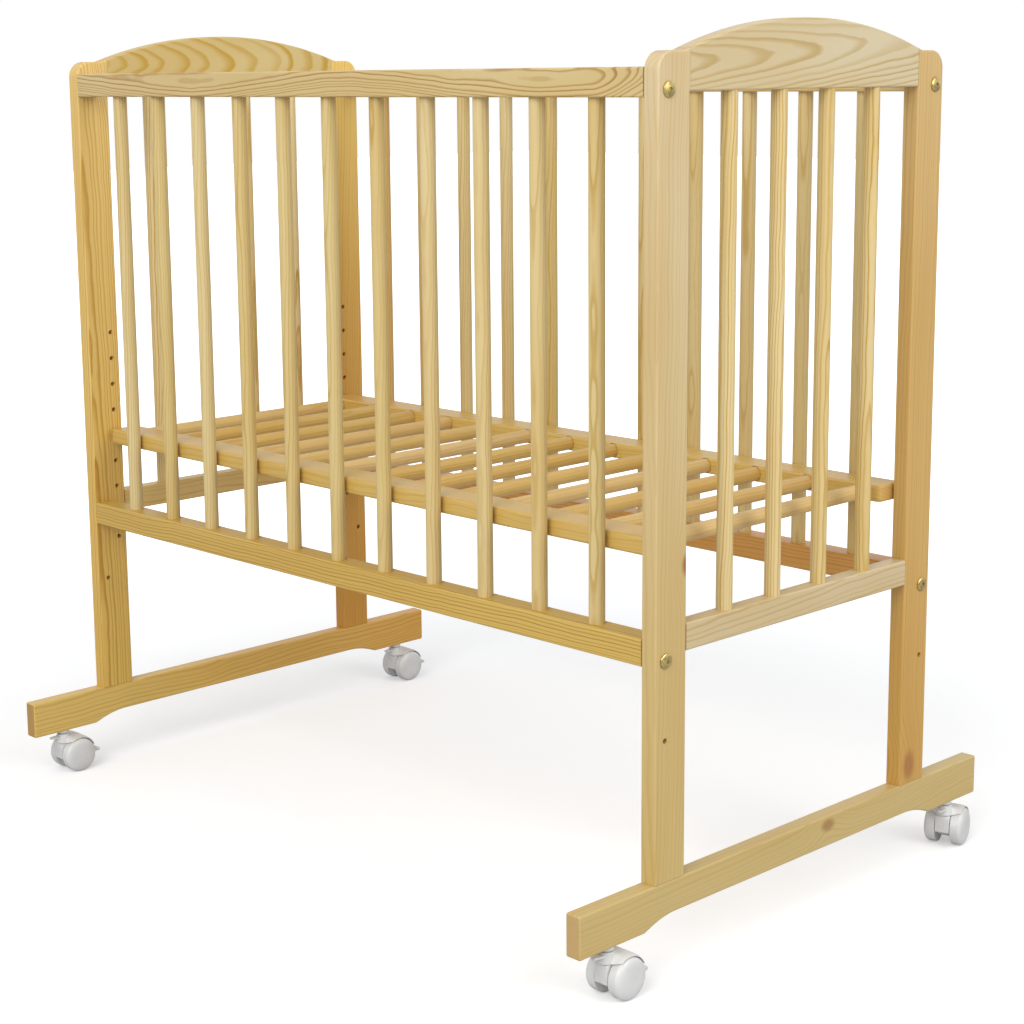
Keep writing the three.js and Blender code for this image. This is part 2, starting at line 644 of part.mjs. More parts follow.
// The middle web between the wheels: upright front, hood line over the top, round underside
function castorWebOutline() {
  const radians = THREE.MathUtils.degToRad;
  const front = WHEEL_TRAIL - WHEEL_RADIUS;
  const [underY, underZ] = hoodPoint(WEB_UNDERSIDE_RADIUS, WEB_UNDERSIDE_START);
  const outline = new THREE.Shape();
  outline.moveTo(front, underZ);
  outline.lineTo(underY, underZ);
  outline.absarc(
    WHEEL_TRAIL, WHEEL_RADIUS, WEB_UNDERSIDE_RADIUS, radians(WEB_UNDERSIDE_START), radians(WEB_UNDERSIDE_END), false,
  );
  outline.lineTo(...hoodPoint(HOOD_INNER, HOOD_REAR_ANGLE));
  outline.lineTo(...hoodPoint(HOOD_OUTER - WEB_INSET, HOOD_REAR_ANGLE));
  outline.absarc(
    WHEEL_TRAIL, WHEEL_RADIUS, HOOD_OUTER - WEB_INSET, radians(HOOD_REAR_ANGLE), radians(HOOD_FRONT_ANGLE), false,
  );
  const [, noseZ] = hoodPoint(HOOD_INNER, HOOD_FRONT_ANGLE);
  outline.quadraticCurveTo(front, noseZ, front, noseZ - HOOD_WALL);
  return outline;
}

// The hood: a curved wall over both wheels, from the front of the castor round to its back
function hoodOutline() {
  const radians = THREE.MathUtils.degToRad;
  const rear = radians(HOOD_REAR_ANGLE);
  const front = radians(HOOD_FRONT_ANGLE);
  const outline = new THREE.Shape();
  outline.moveTo(...hoodPoint(HOOD_OUTER, HOOD_REAR_ANGLE));
  outline.absarc(WHEEL_TRAIL, WHEEL_RADIUS, HOOD_OUTER, rear, front, false);
  outline.lineTo(...hoodPoint(HOOD_INNER, HOOD_FRONT_ANGLE));
  outline.absarc(WHEEL_TRAIL, WHEEL_RADIUS, HOOD_INNER, front, rear, true);
  return outline;
}

// A thin tapered tongue that stands forward from the neck, close under the foot
function castorTongue() {
  const half = TONGUE_WIDTH / 2;
  const tip = TONGUE_TIP_RADIUS;
  const outline = new THREE.Shape();
  outline.moveTo(half, 0);
  outline.lineTo(-half, 0);
  outline.lineTo(-tip, tip - TONGUE_REACH);
  outline.absarc(0, tip - TONGUE_REACH, tip, Math.PI, 2 * Math.PI, false);
  const geometry = new THREE.ExtrudeGeometry(outline, {
    depth: TONGUE_HEIGHT,
    bevelEnabled: false,
    curveSegments: CURVE_STEPS,
  });
  geometry.translate(0, 0, NECK_TOP - TONGUE_DROP - TONGUE_HEIGHT);
  return toSolid(geometry);
}

function castorHousingSolid() {
  const web = CASTOR_WEB / 2;
  const arm = PEDAL_ARM_WIDTH / 2 + FIT;
  const slotFront = PEDAL_PIVOT_Y - PEDAL_PIVOT_RADIUS - RUNNING_GAP;
  const slotBack = WHEEL_TRAIL + HOOD_INNER - HOOD_WALL / 2;
  const slotTop = PEDAL_PIVOT_Z + PEDAL_PIVOT_RADIUS + RUNNING_GAP;
  const boreEnd = NECK_TOP - STEM_IN_BODY - FIT;
  const housing = joined(lengthAlongX(castorWebOutline(), -web, web, HOOD_STEPS), [
    plate(hoodOutline(), 2 * HOOD_HALF, HOOD_EDGE, 1, HOOD_STEPS),
    roundAlongZ(CASTOR_WEB, 0, 0, WHEEL_RADIUS, NECK_TOP, NECK_SIDES),
    castorTongue(),
  ]);
  return cutBy(housing, [
    roundAlongZ(STEM_DIAMETER + 2 * FIT, 0, 0, boreEnd, NECK_TOP + ROOT, NECK_SIDES),
    roundAlongX(AXLE_DIAMETER + 2 * FIT, -web - ROOT, web + ROOT, WHEEL_TRAIL, WHEEL_RADIUS, PIN_SIDES),
    roundAlongX(PEDAL_PIN_DIAMETER + 2 * FIT, -web - ROOT, web + ROOT, PEDAL_PIVOT_Y, PEDAL_PIVOT_Z, PIN_SIDES),
    block(-arm, arm, slotFront, slotBack, 0, slotTop),
  ]);
}

// The brake pedal: an arm on two short pins inside the web, and a wide tread behind the wheels
function brakePedalSolid() {
  const rootY = WHEEL_TRAIL + WHEEL_RADIUS + PEDAL_CLEAR;
  const tipY = rootY + PEDAL_REACH;
  const pinEnd = CASTOR_WEB / 2 - FIT;
  const arm = new THREE.Shape();
  arm.absarc(PEDAL_PIVOT_Y, PEDAL_PIVOT_Z, PEDAL_PIVOT_RADIUS, Math.PI / 3, 1.5 * Math.PI, false);
  arm.lineTo(rootY + ROOT, PEDAL_TOP - PEDAL_ROOT_HEIGHT);
  arm.lineTo(rootY + ROOT, PEDAL_TOP);
  arm.lineTo(rootY - PEDAL_REACH / 2, PEDAL_TOP);
  const tread = new THREE.Shape();
  tread.moveTo(rootY, PEDAL_TOP - PEDAL_ROOT_HEIGHT);
  tread.lineTo(tipY, PEDAL_TIP_Z - PEDAL_TIP_RADIUS);
  tread.absarc(tipY, PEDAL_TIP_Z, PEDAL_TIP_RADIUS, -Math.PI / 2, Math.PI / 2, false);
  tread.lineTo(rootY + PEDAL_TIP_RADIUS, PEDAL_TOP);
  tread.lineTo(rootY, PEDAL_TOP);
  const half = PEDAL_ARM_WIDTH / 2;
  return joined(lengthAlongX(arm, -half, half, 2), [
    plate(tread, PEDAL_WIDTH, HOOD_EDGE, 1, 2),
    roundAlongX(PEDAL_PIN_DIAMETER, -pinEnd, pinEnd, PEDAL_PIVOT_Y, PEDAL_PIVOT_Z, PIN_SIDES),
  ]);
}

// A wheel along X: its inner face on X = 0 with a blind bore, a flat tread and a domed outer disc
function wheelGeometry() {
  const rim = WHEEL_WIDTH - WHEEL_DOME;
  const dome = Array.from({ length: DOME_STEPS + 1 }, (_, i) => {
    const angle = (i / DOME_STEPS) * (Math.PI / 2);
    const radius = i === DOME_STEPS ? 0 : (WHEEL_RADIUS - TREAD_EDGE) * Math.cos(angle);
    return new THREE.Vector2(radius, rim + WHEEL_DOME * Math.sin(angle));
  });
  const profile = [
    new THREE.Vector2(0, 0),
    new THREE.Vector2(WHEEL_RADIUS, 0),
    new THREE.Vector2(WHEEL_RADIUS, rim - TREAD_EDGE),
    ...dome,
  ];
  const turned = new THREE.LatheGeometry(profile, WHEEL_SIDES);
  turned.rotateZ(-Math.PI / 2);
  const bore = roundAlongX(AXLE_DIAMETER + 2 * FIT, -ROOT, WHEEL_BORE_DEPTH, 0, 0, NECK_SIDES);
  return toGeometry(toSolid(turned).subtract(bore));
}

function stemGeometry() {
  const pin = STEM_DIAMETER / 2;
  const flange = STEM_FLANGE_DIAMETER / 2;
  const profile = [
    new THREE.Vector2(0, NECK_TOP - STEM_IN_BODY),
    new THREE.Vector2(pin, NECK_TOP - STEM_IN_BODY),
    new THREE.Vector2(pin, CASTOR_HEIGHT - STEM_FLANGE),
    new THREE.Vector2(flange, CASTOR_HEIGHT - STEM_FLANGE),
    new THREE.Vector2(flange, CASTOR_HEIGHT),
    new THREE.Vector2(pin, CASTOR_HEIGHT),
    new THREE.Vector2(pin, CASTOR_HEIGHT + STEM_IN_FOOT),
    new THREE.Vector2(0, CASTOR_HEIGHT + STEM_IN_FOOT),
  ];
  const turned = new THREE.LatheGeometry(profile, ROUND_SIDES);
  turned.rotateX(Math.PI / 2);
  return toGeometry(toSolid(turned));
}

function axleGeometry() {
  const half = CASTOR_WEB / 2 + RUNNING_GAP + WHEEL_BORE_DEPTH - FIT;
  return toGeometry(roundAlongX(AXLE_DIAMETER, -half, half, WHEEL_TRAIL, WHEEL_RADIUS, PIN_SIDES));
}

const shapes = {
  post: toGeometry(postSolid()),
  arch: toGeometry(archSolid()),
  endLowRail: toGeometry(endLowRailSolid()),
  foot: toGeometry(footSolid()),
  sideTopRail: toGeometry(sideTopRailSolid()),
  sideLowRail: toGeometry(sideLowRailSolid()),
  bolt: boltGeometry(),
  nut: nutGeometry(),
  peg: pegGeometry(),
  wheel: wheelGeometry(),
  stem: stemGeometry(),
  axle: axleGeometry(),
  housing: toGeometry(castorHousingSolid()),
  pedal: toGeometry(brakePedalSolid()),
};

// One end frame with its bolts, nuts and pegs. Its own +X faces out, so +Y is the back on the right
// and the front on the left.
function endFrame(end) {
  const group = new THREE.Group();
  const right = end === 'right';
  group.position.x = right ? FRAME_X : -FRAME_X;
  group.rotation.z = right ? 0 : Math.PI;
  group.add(named(`arch_rail_${end}`, shapes.arch, pine()));
  group.add(named(`low_rail_and_bars_${end}`, shapes.endLowRail, pine()));
  group.add(named(`foot_${end}`, shapes.foot, pine()));
  for (const ySide of [1, -1]) {
    const corner = `${(ySide > 0) === right ? 'back' : 'front'}_${end}`;
    const post = ySide > 0 ? shapes.post : mirroredInY(shapes.post);
    group.add(named(`post_${corner}`, post, pine()));
    const peg = named(`base_peg_${corner}`, shapes.peg, steel());
    peg.position.set(-STOCK / 2, ySide * PEG_Y, BASE_Z);
    group.add(peg);
    for (const [level, base] of [['top', TOP_RAIL_BASE], ['low', SIDE_LOW_BASE]]) {
      const bolt = named(`bolt_${level}_${corner}`, shapes.bolt, brass());
      bolt.position.set(STOCK / 2, ySide * RAIL_Y, base + BOLT_RISE);
      const nut = named(`barrel_nut_${level}_${corner}`, shapes.nut, steel());
      nut.position.set(NUT_X - FRAME_X, ySide * RAIL_Y, base + NUT_SINK);
      group.add(bolt, nut);
    }
  }
  return group;
}

// One long side: a top rail, and a low rail that carries the bars
function longSide(side) {
  const group = new THREE.Group();
  group.rotation.z = side === 'back' ? 0 : Math.PI;
  group.add(named(`top_rail_${side}`, shapes.sideTopRail, pine()));
  group.add(named(`low_rail_and_bars_${side}`, shapes.sideLowRail, pine()));
  return group;
}

function castor(corner, x, y, swivel) {
  const group = new THREE.Group();
  group.position.set(x, y, 0);
  group.rotation.z = THREE.MathUtils.degToRad(swivel);
  group.add(named(`castor_${corner}_stem`, shapes.stem, whitePlastic()));
  group.add(named(`castor_${corner}_housing`, shapes.housing, whitePlastic()));
  group.add(named(`castor_${corner}_axle`, shapes.axle, steel()));
  group.add(named(`castor_${corner}_brake_pedal`, shapes.pedal, whitePlastic()));
  for (const [hand, turn] of [['right', 0], ['left', Math.PI]]) {
    const wheel = named(`castor_${corner}_wheel_${hand}`, shapes.wheel, whitePlastic());
    const inner = CASTOR_WEB / 2 + RUNNING_GAP;
    wheel.position.set(turn ? -inner : inner, WHEEL_TRAIL, WHEEL_RADIUS);
    wheel.rotation.z = turn;
    group.add(wheel);
  }
  return group;
}

const crib = new THREE.Group();
crib.add(endFrame('left'), endFrame('right'), longSide('front'), longSide('back'));
crib.add(named('base_board_and_dowels_front', toGeometry(baseFrontSolid()), pine()));
crib.add(named('base_board_back', toGeometry(baseBackSolid()), pine()));
crib.add(castor('front_left', -FRAME_X, -CASTOR_Y, 0));
crib.add(castor('front_right', FRAME_X, -CASTOR_Y, 0));
crib.add(castor('back_left', -FRAME_X, CASTOR_Y, 0));
crib.add(castor('back_right', FRAME_X, CASTOR_Y, BACK_RIGHT_SWIVEL));

export default crib;
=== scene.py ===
# Dresses the bedside crib: finer wood, brass and plastic pieces over the CAD nodes, with a pale floor,
# soft lights and the camera. Sizes are millimetres until a mesh is finished, then metres.

import math
import random

import bmesh
import bpy
from mathutils import Matrix, Vector

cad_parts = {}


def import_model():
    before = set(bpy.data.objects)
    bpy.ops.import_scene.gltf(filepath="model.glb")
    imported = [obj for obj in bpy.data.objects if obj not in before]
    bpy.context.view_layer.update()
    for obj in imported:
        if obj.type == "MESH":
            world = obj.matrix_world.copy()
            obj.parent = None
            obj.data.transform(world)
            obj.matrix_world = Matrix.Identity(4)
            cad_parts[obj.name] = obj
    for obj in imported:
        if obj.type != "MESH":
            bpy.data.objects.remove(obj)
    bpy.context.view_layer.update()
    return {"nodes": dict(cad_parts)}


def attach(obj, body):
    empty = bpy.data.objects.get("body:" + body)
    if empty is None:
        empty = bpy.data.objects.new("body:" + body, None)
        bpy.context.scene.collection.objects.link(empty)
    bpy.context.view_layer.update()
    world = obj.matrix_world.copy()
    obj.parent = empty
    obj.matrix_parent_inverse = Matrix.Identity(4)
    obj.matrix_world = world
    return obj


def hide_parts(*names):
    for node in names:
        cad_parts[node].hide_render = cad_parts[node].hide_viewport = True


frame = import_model()

MM = 0.001

# Sizes of the frame, as in the CAD
OUTER_X = 470
OUTER_Y = 218
STOCK = 18
FACE = STOCK / 2
FRAME_X = OUTER_X - FACE
INNER_X = OUTER_X - STOCK
POST_WIDTH = 43
JOINT_Y = OUTER_Y - POST_WIDTH
CASTOR_HEIGHT = 53
FOOT_TOP = 96
FOOT_HALF = 320
POST_TOP = 869
EDGE = 2
EDGE_STEPS = 6
BASE_EDGE = 3
SEAM = 0.3

# A cutter reaches past the face that it opens, and an outline past the plane that it is sliced on
PAST_FACE = 1
OVERLONG = 12

# Arched top
POST_CORNER = 18
ARCH_RISE = 30.5
ARCH_FILLET = 15
ARCH_FOOT_INSET = 33.2
ARCH_FOOT_Y = OUTER_Y - ARCH_FOOT_INSET
ARCH_RADIUS = (ARCH_FOOT_Y**2 + ARCH_RISE**2) / (2 * ARCH_RISE) - ARCH_FILLET
ARCH_CENTRE_Z = POST_TOP + ARCH_RISE - ARCH_RADIUS
ARCH_DROP = 36
ARCH_UNDERSIDE = POST_TOP - ARCH_DROP

# Feet
WAIST_RISE = 10
WAIST_Z = CASTOR_HEIGHT + WAIST_RISE
WAIST_INSET = 33
WAIST_END = OUTER_Y - WAIST_INSET
OGEE_RUN = 47
OGEE_LIP = 4
OGEE_HOLLOW = 27
FOOT_CORNER = 2.2

# Rails and bars
RAIL = 27
RAIL_Y = OUTER_Y - RAIL / 2
TOP_RAIL_DROP = 14
TOP_RAIL_BASE = POST_TOP - TOP_RAIL_DROP - RAIL
SIDE_LOW_RISE = 210.5
SIDE_LOW_BASE = FOOT_TOP + SIDE_LOW_RISE
END_LOW_RISE = 221
END_LOW_BASE = FOOT_TOP + END_LOW_RISE
BAR_RADIUS = 8
BAR_BREAK = 0.4
BAR_SIDES = 28
SIDE_BARS = 11
SIDE_BAR_PITCH = (2 * INNER_X + 2 * BAR_RADIUS) / (SIDE_BARS + 1)
END_BARS = 4
END_BAR_PITCH = (2 * JOINT_Y + 2 * BAR_RADIUS) / (END_BARS + 1)
BAR_SEAT = 1

# Peg holes, and the plain hole low in each post
PEG_HOLES = 9
PEG_PITCH = 32
PEG_INSET = 32
PEG_Y = OUTER_Y - PEG_INSET
PEG_TOP_RISE = 446.5
PEG_TOP_Z = FOOT_TOP + PEG_TOP_RISE
PEG_HOLE_RADIUS = 2.8
PEG_HOLE_DEPTH = 12
LOW_HOLE_RISE = 140
LOW_HOLE_Z = FOOT_TOP + LOW_HOLE_RISE
HOLE_SIDES = 20

# Mattress base, which rests on pegs in the fifth holes from the top
HOLES_ABOVE_BASE = 4
BASE_Z = PEG_TOP_Z - HOLES_ABOVE_BASE * PEG_PITCH
BASE_GAP = 2
BASE_HALF = INNER_X - BASE_GAP
BASE_WIDTH = 40
BASE_INSET = 23
BASE_Y = OUTER_Y - BASE_INSET - BASE_WIDTH / 2
BASE_CORNER = 8
NOTCH_LENGTH = 9.3
NOTCH_HALF = 2.8
BASE_DOWELS = 13
BASE_DOWEL_RADIUS = 8
BASE_DOWEL_SIDES = 32
BASE_DOWEL_END = 25
BASE_DOWEL_PITCH = 2 * (BASE_HALF - BASE_DOWEL_END) / (BASE_DOWELS - 1)
DOWEL_SEAT = 3.5
DOWEL_RIM = 0.55
DOWEL_BITE = 0.1

# Bolts with a domed head and a hexagon socket
BOLT_RISE = 7
BOLT_NECK = 5
BOLT_HEAD_RADIUS = 7.5
BOLT_BEVEL = 0.2
BOLT_BEVEL_HEIGHT = 0.25
BOLT_RIM = 1.1
BOLT_DOME = 1.7
DOME_SQUARENESS = 0.8
SOCKET_MOUTH = 2.5
SOCKET_HALF = 2
SOCKET_DEPTH = 1.9

# Barrel nuts with a screwdriver slot, and pegs
NUT_INSET = 25
NUT_X = INNER_X - NUT_INSET
NUT_RADIUS = 5
NUT_LENGTH = 12.5
NUT_SINK = 0.5
NUT_CLEARANCE = 0.3
NUT_HOLE_DEPTH = 14
NUT_SLOT_HALF_WIDTH = 0.7
NUT_SLOT_HALF_LENGTH = 4.2
NUT_SLOT_DEPTH = 1.5
PEG_RADIUS = 2.5
PEG_BURIED = 11
PEG_SHOWN = 11.7
TURNED_BREAK = 0.4

# Castors: Y trails behind the stem and X runs along the axle. The web's hollow ends at angles, in degrees
CASTOR_INSET = 45
CASTOR_Y = FOOT_HALF - CASTOR_INSET
WHEEL_RADIUS = 21
WHEEL_WIDTH = 14
WHEEL_SHOULDER = 8
WHEEL_BORE = 2.8
TRAIL = 13
WEB_HALF = 8
WEB_EDGE = 0.9
WEB_SINK = 0.4
WEB_HOLLOW = 13
WEB_HOLLOW_ENDS = (200, 355)
BROW_BULGE = 1
BROW_DROP = 5
CHIN = 1.5
WHEEL_GAP = 0.5
WHEEL_DOME = 3.5
AXLE = (TRAIL, WHEEL_RADIUS)

# A wheel's rim is rounded at its inner face: points short of the tread, and out from the face
RIM_ROUND = [(0.8, 0), (0.2, 0.5), (0, 1.4)]
DISC_SQUARENESS = 0.5
DISC_FULLNESS = 0.9

# The hood covers the wheels from its rear to its front angle, in degrees round the axle
HOOD_INNER = 21.8
HOOD_OUTER = 23.6
HOOD_HALF = WEB_HALF + WHEEL_GAP + WHEEL_WIDTH - WHEEL_DOME
HOOD_FRONT = 137
HOOD_REAR = 25
HOOD_ACROSS = 32
HOOD_ALONG = 44
LIP_EXTRA = 1
LIP_DRAW = 17
LIP_THINNING = 1.2
LIP_SHARE = 0.45
LIP_GROWTH = 3
HOOD_SHOULDER = 1.1
SWEEP_HEIGHT = 3.4
SWEEP_START = 7.6
SWEEP_REACH = 7

# The neck stands on the hood and has the tongue at its front; profiles are (radius, height)
NECK_TOP = 48.3
NECK_BREAK = 0.6
NECK_FOOT = [(9.5, 37.6), (9.5, 39), (9.0, 42), (8.4, 44.5)]
NECK_HEAD = [(8.0, 46.5), (8.0, NECK_TOP - NECK_BREAK), (7.4, NECK_TOP), (4.6, NECK_TOP)]
TONGUE_TIP = 3
TONGUE_REACH = 19
TONGUE_ROOT = 6
TONGUE_START = 3
TONGUE_DROP = 4.5
TONGUE_THICKNESS = 2
TONGUE_EDGE = 0.4
STEM_PROFILE = [(4, 30), (4, 49.5), (7.2, 49.5), (7.5, 49.8), (7.5, 52.9), (7.4, 53), (4, 53), (4, 80)]

# The brake pedal: an arm on two pins in the web's slot, and a wide tread behind the wheels. The arm is
# round at its pins from one angle to another, in degrees
PIVOT_Y = 24
PIVOT_Z = 24
PIN_RADIUS = 1.6
PIN_HALF = 7.7
SLOT_HALF = 6.3
SLOT_ROOM = 4.5
SLOT_WALL = 0.9
ARM_RADIUS = 4
ARM_ROUND = (60, 270)
ARM_WIDTH = 12
ARM_EDGE = 0.8
ARM_FLAT = 4
ARM_INTO_TREAD = 1
TREAD_GAP = 1.6
TREAD_REACH = 7
TREAD_RISE = 0.5
TREAD_THICKNESS = 6
TREAD_TIP = 2
TREAD_WIDTH = 26
TREAD_EDGE = 1.0

# The tread's hollow is a curve from its tip to near its root, and these place the curve's handles
HOLLOW_TIP_RUN = 2.6
HOLLOW_TIP_DROP = 1.6
HOLLOW_ROOT_RUN = 3.6
HOLLOW_ROOT_DROP = 0.6
HOLLOW_START = 1.6

# The castor at the back right is turned in the photograph, in degrees
BACK_RIGHT_TURN = 17
CORNERS = {
    "front_left": (-FRAME_X, -CASTOR_Y, 0),
    "front_right": (FRAME_X, -CASTOR_Y, 0),
    "back_left": (-FRAME_X, CASTOR_Y, 0),
    "back_right": (FRAME_X, CASTOR_Y, BACK_RIGHT_TURN),
}


# Outlines: lists of points in a plane, anticlockwise


def arc(centre_a, centre_b, radius, start, end, steps):
    turns = [math.radians(start + (end - start) * i / steps) for i in range(steps + 1)]
    return [Vector((centre_a + radius * math.cos(t), centre_b + radius * math.sin(t))) for t in turns]


def bezier(a, b, c, d, steps):
    a, b, c, d = Vector(a), Vector(b), Vector(c), Vector(d)
    shares = [i / steps for i in range(steps + 1)]
    return [
        a * (1 - s) ** 3 + b * 3 * s * (1 - s) ** 2 + c * 3 * s * s * (1 - s) + d * s**3
        for s in shares
    ]


def rounded_rectangle(a_low, a_high, b_low, b_high, radius, steps):
    return (
        arc(a_high - radius, b_low + radius, radius, -90, 0, steps)
        + arc(a_high - radius, b_high - radius, radius, 0, 90, steps)
        + arc(a_low + radius, b_high - radius, radius, 90, 180, steps)
        + arc(a_low + radius, b_low + radius, radius, 180, 270, steps)
    )


def inset(outline, distance):
    """The outline with every side moved inwards by a distance."""
    shifted = []
    for i, point in enumerate(outline):
        before = (point - outline[i - 1]).normalized()
        after = (outline[(i + 1) % len(outline)] - point).normalized()
        left = Vector((-before.y, before.x))
        right = Vector((-after.y, after.x))
        shifted.append(point + (left + right) * distance / (1 + left.dot(right)))
    return shifted


def post_outline():
    """A post with its rounded top corner and the start of the arch, in Y and Z."""
    tilt = math.degrees(math.asin(ARCH_FOOT_Y / (ARCH_RADIUS + ARCH_FILLET)))
    inner = JOINT_Y - OVERLONG
    arch_z = ARCH_CENTRE_Z + math.sqrt(ARCH_RADIUS**2 - inner**2)
    return (
        [Vector((JOINT_Y, FOOT_TOP - OVERLONG)), Vector((OUTER_Y, FOOT_TOP - OVERLONG))]
        + arc(OUTER_Y - POST_CORNER, POST_TOP - POST_CORNER, POST_CORNER, 0, 90, steps=14)
        + arc(ARCH_FOOT_Y, POST_TOP + ARCH_FILLET, ARCH_FILLET, -90, -90 - tilt, steps=5)
        + [Vector((inner, arch_z)), Vector((inner, ARCH_UNDERSIDE)), Vector((JOINT_Y, ARCH_UNDERSIDE))]
    )


def arch_outline():
    over = JOINT_Y + OVERLONG
    tilt = math.degrees(math.asin(over / ARCH_RADIUS))
    underside = [Vector((-over, ARCH_UNDERSIDE)), Vector((over, ARCH_UNDERSIDE))]
    return underside + arc(0, ARCH_CENTRE_Z, ARCH_RADIUS, 90 - tilt, 90 + tilt, steps=60)


def foot_outline():
    start = WAIST_END + OGEE_RUN
    ogee = bezier(
        (WAIST_END, WAIST_Z),
        (WAIST_END + OGEE_HOLLOW, WAIST_Z),
        (start - OGEE_LIP, CASTOR_HEIGHT),
        (start, CASTOR_HEIGHT),
        steps=16,
    )
    end = FOOT_HALF - FOOT_CORNER
    side = ogee + arc(end, CASTOR_HEIGHT + FOOT_CORNER, FOOT_CORNER, -90, 0, EDGE_STEPS)
    side += arc(end, FOOT_TOP - FOOT_CORNER, FOOT_CORNER, 0, 90, EDGE_STEPS)
    return side + [Vector((-p.x, p.y)) for p in reversed(side)]


# Solids, each a bmesh in millimetres


def loops_to_solid(loops):
    """Joins loops of equally many points with faces, and closes the first and the last loop."""
    solid = bmesh.new()
    rings = [[solid.verts.new(p) for p in loop] for loop in loops]
    for low, high in zip(rings, rings[1:]):
        for i in range(len(low)):
            j = (i + 1) % len(low)
            solid.faces.new((low[i], low[j], high[j], high[i]))
    solid.faces.new(list(reversed(rings[0])))
    solid.faces.new(rings[-1])
    bmesh.ops.recalc_face_normals(solid, faces=solid.faces)
    return solid


def board(outline, thickness, edge, steps=EDGE_STEPS):
    """A flat outline in Y and Z made thick along X, with its edges rounded."""
    half = thickness / 2
    quarter = [math.radians(90 * i / steps) for i in range(steps + 1)]
    near = [(-half + edge * (1 - math.cos(t)), edge * (1 - math.sin(t))) for t in quarter]
    rings = near + [(-x, step) for x, step in reversed(near)]
    return loops_to_solid([[Vector((x, *p)) for p in inset(outline, step)] for x, step in rings])


def sliced(solid, point, outward):
    """The part of a solid behind a plane, closed again on the plane."""
    everything = solid.verts[:] + solid.edges[:] + solid.faces[:]
    bmesh.ops.bisect_plane(solid, geom=everything, plane_co=point, plane_no=outward, clear_outer=True)
    rim = [edge for edge in solid.edges if edge.is_boundary]
    bmesh.ops.contextual_create(solid, geom=rim)
    bmesh.ops.recalc_face_normals(solid, faces=solid.faces)
    return solid


def around(count):
    """Evenly spaced angles of a full turn."""
    return [2 * math.pi * i / count for i in range(count)]


def circle(radius, height, sides):
    return [Vector((radius * math.cos(t), radius * math.sin(t), height)) for t in around(sides)]


def turned(profile, sides):
    """A solid of (radius, height) points turned round Z."""
    return loops_to_solid([circle(radius, height, sides) for radius, height in profile])


def pin(radius, low, high, sides, along, place):
    solid = turned([(radius, low), (radius, high)], sides)
    turn = {"X": ALONG_X, "Y": Matrix.Rotation(-math.pi / 2, 4, "X"), "Z": STILL}[along]
    return moved(solid, Matrix.Translation(place) @ turn)


def box(low, high):
    solid = bmesh.new()
    bmesh.ops.create_cube(solid, size=1)
    size = [h - l for l, h in zip(low, high)]
    middle = [(h + l) / 2 for l, h in zip(low, high)]
    return moved(solid, Matrix.Translation(middle) @ Matrix.Diagonal((*size, 1)))


def moved(solid, matrix):
    bmesh.ops.transform(solid, matrix=matrix, verts=solid.verts)
    if matrix.determinant() < 0:
        bmesh.ops.reverse_faces(solid, faces=solid.faces)
    return solid


def copied(solid, matrix):
    return moved(solid.copy(), matrix)


def merged(solids):
    """Several solids in one bmesh; each may be a pair of solid and material number."""
    whole = bmesh.new()
    for entry in solids:
        solid, number = entry if isinstance(entry, tuple) else (entry, 0)
        for face in solid.faces:
            face.material_index = number
        mesh = bpy.data.meshes.new("part")
        solid.to_mesh(mesh)
        whole.from_mesh(mesh)
        bpy.data.meshes.remove(mesh)
    return whole


def cut(solid, cutters):
    """The solid less the cutters."""
    objects = []
    for source in (solid, merged(cutters)):
        mesh = bpy.data.meshes.new("cut")
        source.to_mesh(mesh)
        objects.append(bpy.data.objects.new("cut", mesh))
        bpy.context.scene.collection.objects.link(objects[-1])
    modifier = objects[0].modifiers.new("cut", "BOOLEAN")
    modifier.object = objects[1]
    modifier.operation = "DIFFERENCE"
    modifier.solver = "EXACT"
    evaluated = objects[0].evaluated_get(bpy.context.evaluated_depsgraph_get())
    mesh = bpy.data.meshes.new_from_object(evaluated)
    result = bmesh.new()
    result.from_mesh(mesh)
    for obj in objects:
        bpy.data.objects.remove(obj)
    return result


STILL = Matrix.Identity(4)
TURN = Matrix.Rotation(math.pi, 4, "Z")
MIRROR_Y = Matrix.Diagonal((1, -1, 1, 1))
ALONG_X = Matrix.Rotation(math.pi / 2, 4, "Y")
ALONG_Y = Matrix.Rotation(math.pi / 2, 4, "X")
UPSIDE_DOWN = Matrix.Rotation(math.pi, 4, "X")


# Materials


def colour(red, green, blue):
    """A screen colour from 0 to 255 as the linear values that a shader takes."""
    values = [v / 255 for v in (red, green, blue)]
    return tuple(v / 12.92 if v <= 0.04045 else ((v + 0.055) / 1.055) ** 2.4 for v in values) + (1,)


